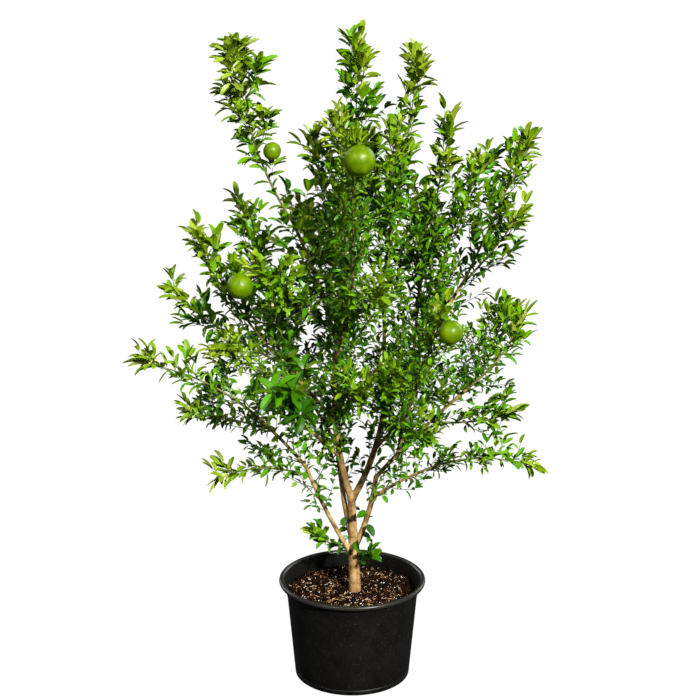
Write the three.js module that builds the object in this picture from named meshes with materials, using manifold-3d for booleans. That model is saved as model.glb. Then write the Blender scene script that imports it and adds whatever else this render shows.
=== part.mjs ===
// Young citrus tree in a round nursery pot, with four green fruits.
// Millimetres, +Z up, +Y towards the back. The origin is the middle of the pot's flat underside.
// Every limb and stem is a smooth arc with a heading, a rise, a length, a bend and a turn.
// Each mass of foliage grows by one seeded rule from its own stem, inside its own space.
import * as THREE from "three";
import { mergeVertices } from "three/addons/utils/BufferGeometryUtils.js";
import Module from "manifold-3d";

const wasm = await Module();
wasm.setup();

// Clearance between neighbouring pieces, and the distance within which corners are one
const SEAT_GAP = 0.3;
const SAME_CORNER = 1e-4;

// Colours
const POT_COLOUR = 0x1b1c1e;
const MIX_COLOUR = 0x3a2a20;
const TRUNK_COLOUR = 0xa8875c;
const BOUGH_COLOUR = 0x97794f;
const LEAF_COLOUR = 0x4f8a1f;

// Pot: moulded plastic with a rolled rim, a stacking ledge and drain notches
const POT_HEIGHT = 247;
const POT_BASE_RADIUS = 139.5;
const POT_TOP_RADIUS = 161.6;
const POT_WALL = 2.5;
const POT_FLOOR = 3;
const BASE_CHAMFER = 3;
const RIM_RADIUS = 177.5;
const RIM_ROLL = 6;
const RIM_ARC_STEPS = 6;
const RIM_SEAT = POT_HEIGHT - 2 * RIM_ROLL;
const WALL_TOP = 229;
const LEDGE_HEIGHT = 207;
const LEDGE_WIDTH = 1;
const NOTCH_COUNT = 12;
const NOTCH_WIDTH = 14;
const NOTCH_HEIGHT = 9;
const NOTCH_DEPTH = 24;
const NOTCH_START = -92;
const ROUND_SEGMENTS = 32;

// Potting mix
const MIX_HEIGHT = 212.3;

// Tree: shared rule
const ARC_STEPS = 12;
const TRUNK_SIDES = 8;
const TRUNK_TRIM = 6;
const BOUGH_SIDES = 6;
const BOUGH_RINGS = 6;
const TWIG_SIDES = 3;
const STEM_RINGS = 6;
const TWIG_RINGS = 1;
const STEM_RADII = [4, 2.2];
const TWIG_RADII = [2, 1.4];
const GOLDEN_ANGLE = 137.5;
const SEED_STEP = 7919;
const DRAW_FACTOR = 16807;
const DRAW_RANGE = 2147483647;

// Foliage: shoots along a stem are spaced by a share of their leaf's length
const SHOOT_SPACING = 0.34;
const FIRST_SHOOT = 0.12;
const LAST_SHOOT_GAP = 0.04;
const SHOOT_JITTER = 20;
const SPREAD_AT_FOOT = 62;
const SPREAD_AT_TIP = 34;
const TWIG_LIFT = 0.25;
const LEAF_LIFT = 0.4;
const TWIG_BEND = 10;
const TWIG_ENDS_SHORT = 0.55;
const SHORTEST_TWIG = 29;
const TWIG_CLEAR_STEP = 4;
const TWIG_LEAF_SHARES = [0.35, 0.72];
const TWIG_LEAF_SPREAD = 48;
const TWIG_LEAF_JITTER = 40;
const TIP_LEAF_SHARE = 0.85;
const LEAF_BASE_LENGTH = 24;
const LEAF_LENGTH_BY_REACH = 1.05;
const LEAF_VARIATION = 0.1;
const LEAF_WIDTH = 0.56;
const LEAF_THICKNESS = 0.03;
const LEAF_WIDEST = 0.45;
const LEAF_SINK = 0.8;
const LEAF_FOLD = 0.05;
const LEAF_DROOP = 0.08;
const LEAF_ROLL = 80;
const LEAF_TRIES = 8;
const LEAF_SHRINK = 0.06;
const LEAF_CLEAR = 0.12;
const SPACE_MARGIN = 4;
const LIMB_MARGIN = 7;
const FRUIT_MARGIN = 4;
const FRUIT_DETAIL = 1;

const TRUNK = {
  name: "trunk",
  foot: [7, 0, MIX_HEIGHT - TRUNK_TRIM],
  heading: 180,
  rise: 88,
  length: 238 + TRUNK_TRIM,
  bend: 0,
  radii: [14, 9],
  flare: 1.5,
  flareHeight: 18,
};

// Boughs: the parent limb, the share along it where the bough leaves, and the bough's own arc
const BOUGHS = [
  { name: "left_leader", on: "trunk", at: 0.98, heading: 195, rise: 72, length: 455, bend: 30,
    radii: [8.5, 5] },
  { name: "right_leader", on: "trunk", at: 0.98, heading: 346, rise: 61, length: 260, bend: 22,
    radii: [8, 5.8] },
  { name: "left_stem", on: "trunk", at: 0.37, heading: 204, rise: 59, length: 285, bend: 10,
    radii: [5.6, 4.2] },
  { name: "right_stem", on: "trunk", at: 0.46, heading: 331, rise: 63, length: 210, bend: 20,
    radii: [7.4, 5.6] },
  { name: "back_stem", on: "trunk", at: 0.48, heading: 165, rise: 77, length: 720, bend: 6, turn: -165,
    radii: [6.6, 4] },
  { name: "left_high", on: "left_leader", at: 0.85, heading: 204, rise: 76, length: 320, bend: -11,
    radii: [4.6, 3.6] },
  { name: "left_mid", on: "left_leader", at: 0.45, heading: 175, rise: 51, length: 230, bend: -5,
    radii: [4.4, 3.5] },
  { name: "left_low_fork", on: "left_stem", at: 0.98, heading: 184, rise: 52, length: 180, bend: -8,
    radii: [4.1, 3.5] },
  { name: "right_fork", on: "right_leader", at: 0.98, heading: 14, rise: 57, length: 355, bend: 0,
    radii: [5.4, 3.7] },
  { name: "right_upright", on: "right_leader", at: 0.98, heading: 92, rise: 81, length: 315, bend: 0,
    radii: [5.2, 3.7] },
  { name: "right_low_fork", on: "right_stem", at: 0.98, heading: 352, rise: 51, length: 320, bend: -8,
    radii: [5, 3.6] },
  { name: "right_mid", on: "right_low_fork", at: 0.25, heading: 66, rise: 59, length: 370, bend: 25,
    radii: [4.4, 3.5] },
  { name: "low_right", on: "right_stem", at: 0.72, heading: 342, rise: 39, length: 135, bend: -10,
    radii: [4, 3.4] },
  { name: "front_left", on: "left_leader", at: 0.25, heading: 234, rise: 44, length: 185, bend: -10,
    radii: [4.1, 3.4] },
  { name: "front_right", on: "right_leader", at: 0.55, heading: 299, rise: 43, length: 190, bend: -5,
    radii: [4.1, 3.4] },
  { name: "front_high", on: "left_leader", at: 0.72, heading: 287, rise: 69, length: 270, bend: -21,
    radii: [4.2, 3.4] },
  { name: "back_left", on: "back_stem", at: 0.35, heading: 123, rise: 32, length: 205, bend: 5,
    radii: [4.3, 3.5] },
  { name: "back_right", on: "back_stem", at: 0.5, heading: 46, rise: 19, length: 220, bend: 5,
    radii: [4.3, 3.5] },
];

// Masses of foliage: the arc of the stem, and how far the twigs reach from it at its foot and at its tip.
// A fruit hangs beside its stem: share along the stem, offset of its middle from there, and radius.
const MASSES = [
  { name: "foliage_top_left", on: "left_high", at: 1, heading: 202, rise: 57, length: 445, bend: 32,
    reach: [75, 78], fruit: { at: 0.45, offset: [36, -8, -9], radius: 20 } },
  { name: "foliage_top_centre", on: "back_stem", at: 1, heading: 290, rise: 87, length: 525, bend: -4,
    reach: [110, 50] },
  { name: "foliage_top_right", on: "right_upright", at: 1, heading: 350, rise: 79, length: 535, bend: 5,
    reach: [100, 46] },
  { name: "foliage_upper_right", on: "right_mid", at: 1, heading: 356, rise: 81, length: 480, bend: -2,
    reach: [100, 46] },
  { name: "foliage_far_right_high", on: "right_fork", at: 1, heading: 14, rise: 64, length: 375, bend: 3,
    reach: [90, 50] },
  { name: "foliage_right_shoulder", on: "right_fork", at: 0.55, heading: 36, rise: 85, length: 485, bend: -40,
    reach: [100, 50] },
  { name: "foliage_right_spur", on: "right_fork", at: 0.95, heading: 329, rise: 47, length: 275, bend: 10,
    reach: [80, 42] },
  { name: "foliage_right_side", on: "right_low_fork", at: 1, heading: 11, rise: 36, length: 235, bend: 38,
    reach: [80, 46] },
  { name: "foliage_right_inner", on: "right_low_fork", at: 0.85, heading: 46, rise: 15, length: 305,
    bend: 75,
    reach: [95, 50] },
  { name: "foliage_right_lower", on: "right_low_fork", at: 0.6, heading: 349, rise: -2, length: 240,
    bend: 28,
    reach: [85, 45] },
  { name: "foliage_low_right", on: "low_right", at: 1, heading: 356, rise: 28, length: 325, bend: -54,
    reach: [75, 40] },
  { name: "foliage_low_left", on: "left_stem", at: 0.88, heading: 183, rise: 25, length: 270, bend: -60,
    reach: [75, 40] },
  { name: "foliage_left_lower", on: "left_low_fork", at: 0.7, heading: 162, rise: 11, length: 255,
    bend: -15,
    reach: [90, 46] },
  { name: "foliage_left_arm", on: "left_low_fork", at: 1, heading: 184, rise: 43, length: 335, bend: -38,
    reach: [85, 38] },
  { name: "foliage_left_middle", on: "left_mid", at: 0.8, heading: 173, rise: 23, length: 360, bend: 22,
    reach: [90, 44] },
  { name: "foliage_left_upper", on: "left_mid", at: 1, heading: 194, rise: 53, length: 370, bend: 14,
    reach: [90, 45] },
  { name: "foliage_left_crest", on: "left_mid", at: 0.55, heading: 156, rise: 67, length: 475, bend: 7,
    reach: [100, 48] },
  { name: "foliage_left_top", on: "left_leader", at: 1, heading: 172, rise: 84, length: 455, bend: -6,
    reach: [105, 50] },
  { name: "foliage_left_inner", on: "left_mid", at: 0.35, heading: 202, rise: 31, length: 310, bend: 0,
    reach: [100, 60] },
  { name: "foliage_near_left", on: "front_left", at: 1, heading: 260, rise: 44, length: 285, bend: -20,
    reach: [120, 70] },
  { name: "foliage_near_right", on: "front_right", at: 1, heading: 304, rise: 64, length: 340, bend: 0,
    reach: [110, 55], fruit: { at: 0.8, offset: [22, -37, -10], radius: 27 } },
  { name: "foliage_near_right_low", on: "front_right", at: 0.6, heading: 294, rise: 19, length: 225,
    bend: -20,
    reach: [90, 50] },
  { name: "foliage_near_top", on: "front_high", at: 1, heading: 270, rise: 68, length: 395, bend: 20,
    reach: [110, 52], fruit: { at: 0.8, offset: [14, -44, 2], radius: 34 } },
  { name: "foliage_near_centre", on: "front_high", at: 0.5, heading: 290, rise: 29, length: 320, bend: 0,
    reach: [120, 65] },
  { name: "foliage_near_middle", on: "left_leader", at: 0.5, heading: 285, rise: 28, length: 280, bend: 0,
    reach: [110, 65] },
  { name: "foliage_near_right_middle", on: "right_leader", at: 0.9, heading: 277, rise: 36, length: 300,
    bend: 0,
    reach: [110, 65] },
  { name: "foliage_near_upper_left", on: "left_high", at: 0.15, heading: 225, rise: 35, length: 330,
    bend: 0,
    reach: [105, 50], fruit: { at: 0.9, offset: [-27, -25, -22], radius: 29 } },
  { name: "foliage_back_left_low", on: "back_left", at: 0.6, heading: 126, rise: -13, length: 270, bend: 0,
    reach: [110, 55] },
  { name: "foliage_back_left", on: "back_left", at: 1, heading: 118, rise: 29, length: 275, bend: 10,
    reach: [115, 60] },
  { name: "foliage_back_right_low", on: "back_right", at: 0.6, heading: 44, rise: -25, length: 330, bend: 0,
    reach: [110, 55] },
  { name: "foliage_back_right", on: "back_right", at: 1, heading: 52, rise: 18, length: 275, bend: 10,
    reach: [115, 60] },
  { name: "foliage_back_centre", on: "back_stem", at: 0.6, heading: 88, rise: 13, length: 375, bend: 0,
    reach: [125, 60] },
  { name: "foliage_back_upper_left", on: "back_stem", at: 0.75, heading: 120, rise: 45, length: 365,
    bend: 10,
    reach: [115, 52] },
  { name: "foliage_back_upper", on: "back_stem", at: 0.92, heading: 66, rise: 53, length: 365, bend: 20,
    reach: [115, 55] },
  { name: "foliage_back_upper_right", on: "right_mid", at: 0.85, heading: 81, rise: 43, length: 360,
    bend: 10,
    reach: [115, 52] },
  { name: "foliage_top_middle", on: "right_upright", at: 0.6, heading: 284, rise: 77, length: 510, bend: 10,
    reach: [105, 50] },
  { name: "foliage_top_inner", on: "front_high", at: 0.85, heading: 107, rise: 72, length: 440, bend: 20,
    reach: [105, 50] },
  { name: "foliage_sprout_left", on: "trunk", at: 0.45, heading: 197, rise: 20, length: 160, bend: 20,
    reach: [50, 34] },
  { name: "foliage_sprout_right", on: "trunk", at: 0.3, heading: 316, rise: 32, length: 125, bend: 10,
    reach: [55, 36] },
];

// Repeatable draws from 0 to 1
function drawsFrom(seed) {
  let state = seed * SEED_STEP;
  return () => {
    state = (state * DRAW_FACTOR) % DRAW_RANGE;
    return state / DRAW_RANGE;
  };
}

const mix = (from, to, share) => from + (to - from) * share;
const radians = THREE.MathUtils.degToRad;

// A closed solid from a geometry whose faces share their corners
function solidFrom(geometry) {
  geometry.deleteAttribute("normal");
  geometry.deleteAttribute("uv");
  const merged = mergeVertices(geometry, SAME_CORNER);
  const corners = merged.index.array;
  const kept = [];
  for (let i = 0; i < corners.length; i += 3) {
    const [a, b, c] = [corners[i], corners[i + 1], corners[i + 2]];
    if (a !== b && b !== c && c !== a) kept.push(a, b, c);
  }
  return new wasm.Manifold(new wasm.Mesh({
    numProp: 3,
    vertProperties: Float32Array.from(merged.attributes.position.array),
    triVerts: Uint32Array.from(kept),
  }));
}

// The largest body of a cut solid: loose scraps and sealed hollows are dropped
function largestBody(solid) {
  const bodies = solid.decompose();
  return bodies.reduce((best, body) => (body.volume() > best.volume() ? body : best));
}

function meshFrom(solid, name, foot, colour, roughness) {
  const { vertProperties, triVerts } = solid.getMesh();
  const geometry = new THREE.BufferGeometry();
  geometry.setAttribute("position", new THREE.BufferAttribute(vertProperties, 3));
  geometry.setIndex(new THREE.BufferAttribute(triVerts, 1));
  geometry.translate(-foot.x, -foot.y, -foot.z);
  geometry.computeVertexNormals();
  const material = new THREE.MeshStandardMaterial({ color: colour, roughness, metalness: 0 });
  const mesh = new THREE.Mesh(geometry, material);
  mesh.name = name;
  mesh.position.copy(foot);
  return mesh;
}

// Pot and potting mix
function wallRadius(height) {
  return mix(POT_BASE_RADIUS, POT_TOP_RADIUS, height / WALL_TOP);
}

function turned(profile) {
  const outline = profile.map(([radius, height]) => new THREE.Vector2(radius, height));
  return solidFrom(new THREE.LatheGeometry(outline, ROUND_SEGMENTS).rotateX(Math.PI / 2));
}

function potSolid() {
  const rollMiddle = RIM_RADIUS - RIM_ROLL;
  const rollHeight = POT_HEIGHT - RIM_ROLL;
  const profile = [
    [0, 0],
    [POT_BASE_RADIUS - BASE_CHAMFER, 0],
    [wallRadius(BASE_CHAMFER), BASE_CHAMFER],
    [wallRadius(LEDGE_HEIGHT) - LEDGE_WIDTH, LEDGE_HEIGHT],
    [wallRadius(LEDGE_HEIGHT), LEDGE_HEIGHT + LEDGE_WIDTH],
    [POT_TOP_RADIUS, WALL_TOP],
    [rollMiddle, RIM_SEAT],
  ];
  for (let i = 1; i <= RIM_ARC_STEPS; i += 1) {
    const angle = mix(-90, 180, i / RIM_ARC_STEPS);
    profile.push([
      rollMiddle + RIM_ROLL * Math.cos(radians(angle)),
      rollHeight + RIM_ROLL * Math.sin(radians(angle)),
    ]);
  }
  profile.push([POT_TOP_RADIUS - POT_WALL, WALL_TOP]);
  profile.push([wallRadius(LEDGE_HEIGHT) - LEDGE_WIDTH - POT_WALL, LEDGE_HEIGHT]);
  profile.push([wallRadius(POT_FLOOR) - LEDGE_WIDTH - POT_WALL, POT_FLOOR]);
  profile.push([0, POT_FLOOR]);
  let pot = turned(profile);
  for (let i = 0; i < NOTCH_COUNT; i += 1) {
    const notch = new THREE.BoxGeometry(NOTCH_DEPTH, NOTCH_WIDTH, 2 * NOTCH_HEIGHT);
    notch.translate(POT_BASE_RADIUS, 0, 0);
    notch.rotateZ(radians(NOTCH_START + (360 * i) / NOTCH_COUNT));
    pot = pot.subtract(solidFrom(notch));
  }
  return pot;
}

function mixSolid() {
  const inside = POT_WALL + LEDGE_WIDTH + 2 * SEAT_GAP;
  const low = POT_FLOOR + SEAT_GAP;
  return turned([
    [0, low],
    [wallRadius(low) - inside, low],
    [wallRadius(LEDGE_HEIGHT) - inside, LEDGE_HEIGHT],
    [wallRadius(LEDGE_HEIGHT) - inside, MIX_HEIGHT],
    [0, MIX_HEIGHT],
  ]);
}

// Arcs: where a limb runs, and the directions along and across it
function arcFrame(arc, share) {
  const heading = radians(arc.heading + (arc.turn ?? 0) * share);
  const rise = radians(arc.rise + arc.bend * share);
  return {
    along: new THREE.Vector3(
      Math.cos(rise) * Math.cos(heading), Math.cos(rise) * Math.sin(heading), Math.sin(rise)),
    side: new THREE.Vector3(-Math.sin(heading), Math.cos(heading), 0),
    over: new THREE.Vector3(
      -Math.sin(rise) * Math.cos(heading), -Math.sin(rise) * Math.sin(heading), Math.cos(rise)),
  };
}

function arcPoints(arc, foot) {
  const points = [foot.clone()];
  for (let i = 0; i < ARC_STEPS; i += 1) {
    const { along } = arcFrame(arc, (i + 0.5) / ARC_STEPS);
    points.push(points[i].clone().addScaledVector(along, arc.length / ARC_STEPS));
  }
  return points;
}

function pointAt(points, share) {
  const place = Math.min(share, 1) * ARC_STEPS;
  const step = Math.min(Math.floor(place), ARC_STEPS - 1);
  return points[step].clone().lerp(points[step + 1], place - step);
}

function radiusAt(limb, share) {
  const flare = (limb.flare ?? 0) * Math.exp((-share * limb.length) / (limb.flareHeight ?? 1));
  return mix(limb.radii[0], limb.radii[1], share) + flare;
}

// A round bar bent along an arc up to a share of it; grown is added all round and at both ends
function barSolid(limb, sides, rings, grown = 0) {
  const bar = new THREE.CylinderGeometry(1, 1, 1, sides, rings);
  const corners = bar.attributes.position;
  const last = limb.barShare ?? 1;
  for (let i = 0; i < corners.count; i += 1) {
    const share = last * Math.min(Math.max(corners.getY(i) + 0.5, 0), 1);
    const { along, side, over } = arcFrame(limb, share);
    const radius = radiusAt(limb, share) + grown;
    const place = pointAt(limb.points, share);
    if (share === 0) place.addScaledVector(along, -grown);
    if (share === last) place.addScaledVector(along, grown);
    place.addScaledVector(over, corners.getX(i) * radius);
    place.addScaledVector(side, corners.getZ(i) * radius);
    corners.setXYZ(i, place.x, place.y, place.z);
  }
  return solidFrom(bar);
}

// Leaf: an octahedron drawn out into a folded, drooping blade, its root sunk into the twig
function leafFrame(root, direction, length, roll) {
  const side = new THREE.Vector3(0, 0, 1).cross(direction).normalize();
  const over = direction.clone().cross(side);
  const turnedSide = side.clone().multiplyScalar(Math.cos(roll)).addScaledVector(over, Math.sin(roll));
  return { root, direction, length, side: turnedSide, over: direction.clone().cross(turnedSide) };
}

function leafPoint(leaf, along, across, lift) {
  const width = (across * leaf.length * LEAF_WIDTH) / 2;
  const fold = Math.abs(across) * leaf.length * LEAF_FOLD;
  const droop = LEAF_DROOP * leaf.length * Math.max(along / leaf.length, 0) ** 2;
  return leaf.root.clone()
    .addScaledVector(leaf.direction, along)
    .addScaledVector(leaf.side, width)
    .addScaledVector(leaf.over, lift + fold - droop);
}

function leafSolid(leaf) {
  const blade = new THREE.OctahedronGeometry(1, 0);
  const corners = blade.attributes.position;
  const middle = LEAF_WIDEST * leaf.length;
  const slope = (leaf.length + LEAF_SINK) / 2;
  const curve = (leaf.length - LEAF_SINK) / 2 - middle;
  for (let i = 0; i < corners.count; i += 1) {
    const along = corners.getX(i);
    const lift = (corners.getZ(i) * leaf.length * LEAF_THICKNESS) / 2;
    const place = leafPoint(leaf, middle + slope * along + curve * along ** 2, corners.getY(i), lift);
    corners.setXYZ(i, place.x, place.y, place.z);
  }
  return solidFrom(blade);
}

function leafSamples(leaf) {
  const middle = LEAF_WIDEST * leaf.length;
  const beyond = (leaf.length + middle) / 2;
  const spots = [[middle / 2, -0.5], [middle / 2, 0.5], [beyond, -0.5], [beyond, 0.5], [leaf.length, 0]];
  [-1, -0.4, 0.4, 1].forEach((across) => spots.push([middle, across]));
  return spots.map(([along, across]) => leafPoint(leaf, along, across, 0));
}

// Blades that would cross: the edges of one against the faces of another
function bladeOf(leaf) {
  const root = leafPoint(leaf, leaf.length * LEAF_CLEAR, 0, 0);
  const tip = leafPoint(leaf, leaf.length, 0, 0);
  const [left, right] = [-1, 1].map((across) => leafPoint(leaf, LEAF_WIDEST * leaf.length, across, 0));
  return {
    faces: [[root, left, tip], [root, right, tip]],
    edges: [[root, left], [left, tip], [root, right], [right, tip], [root, tip]],
  };
}

function isCut(face, from, to) {
  const ray = new THREE.Ray(from, to.clone().sub(from).normalize());
  const hit = ray.intersectTriangle(face[0], face[1], face[2], false, new THREE.Vector3());
  return hit !== null && hit.distanceTo(from) < to.distanceTo(from);
}

function isBladeCut(blade, edges) {
  return blade.faces.some((face) => edges.some(([from, to]) => isCut(face, from, to)));
}

function edgesOf(points) {
  return points.slice(1).map((point, i) => [points[i], point]);
}

// Spaces: a point belongs to the mass whose stem is nearest, clear of every limb
function distanceToPath(point, points) {
  const line = new THREE.Line3();
  const nearest = new THREE.Vector3();
  let best = Infinity;
  for (let i = 1; i < points.length; i += 1) {
    line.set(points[i - 1], points[i]).closestPointToPoint(point, true, nearest);
    best = Math.min(best, nearest.distanceTo(point));
  }
  return best;
}

function isFree(point, mass) {
  if (point.z < POT_HEIGHT + LIMB_MARGIN) return false;
  if (mass.fruit && point.distanceTo(mass.fruit.middle) < mass.fruit.radius + FRUIT_MARGIN) return false;
  const own = distanceToPath(point, mass.points);
  const isNearer = (other) => other !== mass && distanceToPath(point, other.points) < own + 2 * SPACE_MARGIN;
  const isTouched = (limb) => distanceToPath(point, limb.points) < limb.radii[0] + LIMB_MARGIN;
  return !masses.some(isNearer) && !limbs.some(isTouched);
}

function reachAt(mass, share) {
  return mix(mass.reach[0], mass.reach[1], share);
}

function leafLengthAt(mass, share) {
  return LEAF_BASE_LENGTH + LEAF_LENGTH_BY_REACH * reachAt(mass, share);
}

// The direction of a shoot that leaves a stem at an angle, lifted towards the light
function shootDirection(frame, around, spread, lift) {
  const direction = frame.along.clone().multiplyScalar(Math.cos(spread));
  direction.addScaledVector(frame.side, Math.sin(spread) * Math.cos(around));
  direction.addScaledVector(frame.over, Math.sin(spread) * Math.sin(around));
  direction.z += lift;
  return direction.normalize();
}

// The heading and rise of a straight run, as the start of an arc
function aimOf(direction) {
  return {
    heading: THREE.MathUtils.radToDeg(Math.atan2(direction.y, direction.x)),
    rise: THREE.MathUtils.radToDeg(Math.asin(direction.z)),
  };
}

// A twig, or null where it would leave the space or meet a leaf
function tryTwig(growth, foot, direction, length) {
  const twig = { ...aimOf(direction), length, bend: TWIG_BEND, radii: TWIG_RADII };
  twig.points = arcPoints(twig, foot);
  const isPlaced = twig.points.slice(TWIG_CLEAR_STEP).every((point) => isFree(point, growth.mass));
  const isCrossing = growth.blades.some((blade) => isBladeCut(blade, edgesOf(twig.points)));
  return isPlaced && !isCrossing ? twig : null;
}

// A leaf tries several turns about its root, each a little smaller, and is skipped where none of them fits
function tryLeaf(growth, root, frame, around, spread, length) {
  const lift = spread > 0 ? LEAF_LIFT : 0;
  for (let i = 0; i < LEAF_TRIES; i += 1) {
    const direction = shootDirection(frame, radians(around + GOLDEN_ANGLE * i), radians(spread), lift);
    const roll = radians(mix(-LEAF_ROLL, LEAF_ROLL, growth.draw()));
    const leaf = leafFrame(root, direction, length * (1 - LEAF_SHRINK * i), roll);
    const blade = bladeOf(leaf);
    const isPlaced = leafSamples(leaf).every((point) => isFree(point, growth.mass));
    const isCrossing = isBladeCut(blade, growth.edges)
      || growth.blades.some((other) => isBladeCut(blade, other.edges) || isBladeCut(other, blade.edges));
    if (isPlaced && !isCrossing) {
      growth.blades.push(blade);
      growth.pieces.push(leafSolid(leaf));
      return;
    }
  }
}

// A shoot is a twig with leaves where the reach is wide, and a single leaf elsewhere
function growShoot(growth, share, around) {
  const { mass, draw } = growth;
  const spread = mix(SPREAD_AT_FOOT, SPREAD_AT_TIP, share);
  const frame = arcFrame(mass, share);
  const foot = pointAt(mass.points, share);
  const leafLength = leafLengthAt(mass, share) * mix(1 - LEAF_VARIATION, 1 + LEAF_VARIATION, draw());
  const twigLength = reachAt(mass, share) - TWIG_ENDS_SHORT * leafLength;
  const direction = shootDirection(frame, radians(around), radians(spread), TWIG_LIFT);
  const twig = twigLength > SHORTEST_TWIG ? tryTwig(growth, foot, direction, twigLength) : null;
  if (!twig) {
    tryLeaf(growth, foot, frame, around, spread, leafLength);
    return;
  }
  growth.pieces.push(barSolid(twig, TWIG_SIDES, TWIG_RINGS));
  growth.edges.push(...edgesOf(twig.points.slice(0, ARC_STEPS)));
  tryLeaf(growth, twig.points[ARC_STEPS], arcFrame(twig, 1), 0, 0, leafLength);
  TWIG_LEAF_SHARES.forEach((twigShare, side) => {
    const leafAround = 180 * side + mix(-TWIG_LEAF_JITTER, TWIG_LEAF_JITTER, draw());
    const root = pointAt(twig.points, twigShare);
    tryLeaf(growth, root, arcFrame(twig, twigShare), leafAround, TWIG_LEAF_SPREAD, leafLength);
  });
}

// Shoots wind round the stem by the golden angle, from its foot to just short of its tip leaf
function growMass(mass, index) {
  const growth = {
    mass,
    draw: drawsFrom(index + 1),
    pieces: [barSolid(mass, TWIG_SIDES, STEM_RINGS)],
    edges: edgesOf(mass.points.slice(0, Math.floor(mass.barShare * ARC_STEPS))),
    blades: [],
  };
  tryLeaf(growth, pointAt(mass.points, mass.barShare), arcFrame(mass, 1), 0, 0, leafLengthAt(mass, 1));
  let share = FIRST_SHOOT;
  for (let i = 0; share < mass.barShare - LAST_SHOOT_GAP; i += 1) {
    const around = GOLDEN_ANGLE * (i + index) + mix(-SHOOT_JITTER, SHOOT_JITTER, growth.draw());
    growShoot(growth, share, around);
    share += (SHOOT_SPACING * leafLengthAt(mass, share)) / mass.length;
  }
  if (mass.fruit) growth.pieces.push(...fruitSolids(mass.fruit));
  return wasm.Manifold.union(growth.pieces);
}

// Fruit: a round body on a short stalk
function fruitOn(mass, points) {
  const stalkFoot = pointAt(points, mass.fruit.at);
  return { ...mass.fruit, stalkFoot, middle: stalkFoot.clone().add(new THREE.Vector3(...mass.fruit.offset)) };
}

function fruitSolids({ stalkFoot, middle, radius }) {
  const run = middle.clone().sub(stalkFoot);
  const length = run.length();
  const stalk = { ...aimOf(run.normalize()), length, bend: 0, radii: TWIG_RADII };
  stalk.points = arcPoints(stalk, stalkFoot);
  const globe = new THREE.IcosahedronGeometry(radius, FRUIT_DETAIL).translate(middle.x, middle.y, middle.z);
  return [barSolid(stalk, TWIG_SIDES, TWIG_RINGS), solidFrom(globe)];
}

// The slab below the potting mix's surface, which trims the trunk's foot flat
function trimSlab() {
  const slab = new THREE.BoxGeometry(4 * POT_BASE_RADIUS, 4 * POT_BASE_RADIUS, MIX_HEIGHT);
  return solidFrom(slab.translate(0, 0, MIX_HEIGHT / 2 + SEAT_GAP));
}

// Where each limb and stem runs
const trunk = { ...TRUNK, points: arcPoints(TRUNK, new THREE.Vector3(...TRUNK.foot)) };
const limbs = [trunk];
for (const bough of BOUGHS) {
  const parent = limbs.find((limb) => limb.name === bough.on);
  limbs.push({ ...bough, points: arcPoints(bough, pointAt(parent.points, bough.at)) });
}
const masses = MASSES.map((mass) => {
  const parent = limbs.find((limb) => limb.name === mass.on);
  const points = arcPoints(mass, pointAt(parent.points, mass.at));
  const barShare = 1 - (TIP_LEAF_SHARE * leafLengthAt(mass, 1)) / mass.length;
  return { ...mass, points, barShare, radii: STEM_RADII, fruit: mass.fruit && fruitOn(mass, points) };
});

// Assembly
const tree = new THREE.Group();
tree.add(meshFrom(potSolid(), "pot", new THREE.Vector3(), POT_COLOUR, 0.45));
tree.add(meshFrom(mixSolid(), "potting_mix", new THREE.Vector3(), MIX_COLOUR, 0.95));

// Each limb is cut by those made before it, and each mass by every limb, so that their feet seat against them
const cutters = [trimSlab()];
limbs.forEach((limb) => {
  const sides = limb === trunk ? TRUNK_SIDES : BOUGH_SIDES;
  const rings = limb === trunk ? ARC_STEPS : BOUGH_RINGS;
  const whole = barSolid(limb, sides, rings);
  const cut = largestBody(cutters.reduce((solid, cutter) => solid.subtract(cutter), whole));
  cutters.push(barSolid(limb, sides, rings, SEAT_GAP));
  tree.add(meshFrom(cut, limb.name, limb.points[0], limb === trunk ? TRUNK_COLOUR : BOUGH_COLOUR, 0.8));
});
const limbSpace = wasm.Manifold.union(cutters);
masses.forEach((mass, index) => {
  const solid = largestBody(growMass(mass, index).subtract(limbSpace));
  tree.add(meshFrom(solid, mass.name, mass.points[0], LEAF_COLOUR, 0.5));
});

export default tree;
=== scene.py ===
"""Young citrus tree in a round nursery pot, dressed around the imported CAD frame.

Every limb, stem and twig is a smooth arc, as in the part's source, and the foliage grows by the
same rule with leaves of real size. The plant is worked out in millimetres and becomes metres in
its meshes.
"""
import math
from dataclasses import dataclass, field
from itertools import count

import bmesh
import bpy
import numpy as np
from bpy.props import FloatProperty, FloatVectorProperty, PointerProperty
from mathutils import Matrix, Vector, noise


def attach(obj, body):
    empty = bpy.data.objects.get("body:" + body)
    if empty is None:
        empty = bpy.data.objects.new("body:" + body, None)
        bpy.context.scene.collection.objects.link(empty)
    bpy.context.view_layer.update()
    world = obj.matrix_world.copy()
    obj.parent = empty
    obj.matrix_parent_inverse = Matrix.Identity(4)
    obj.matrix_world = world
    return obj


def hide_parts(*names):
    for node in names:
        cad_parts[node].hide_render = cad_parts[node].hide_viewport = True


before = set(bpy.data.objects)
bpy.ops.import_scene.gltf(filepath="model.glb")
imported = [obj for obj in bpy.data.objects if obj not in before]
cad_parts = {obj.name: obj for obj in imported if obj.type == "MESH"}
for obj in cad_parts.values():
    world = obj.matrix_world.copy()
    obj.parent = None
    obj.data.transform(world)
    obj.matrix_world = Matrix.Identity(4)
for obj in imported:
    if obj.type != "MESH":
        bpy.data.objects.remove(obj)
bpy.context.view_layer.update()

bl_info = {
    "name": "Potted Citrus Tree",
    "version": (1, 0, 0),
    "blender": (4, 5, 0),
    "location": "3D View > Sidebar > Citrus Tree",
    "description": "Builds a young citrus tree with real leaves, bark, fruit and a nursery pot",
    "category": "Add Mesh",
}

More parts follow.
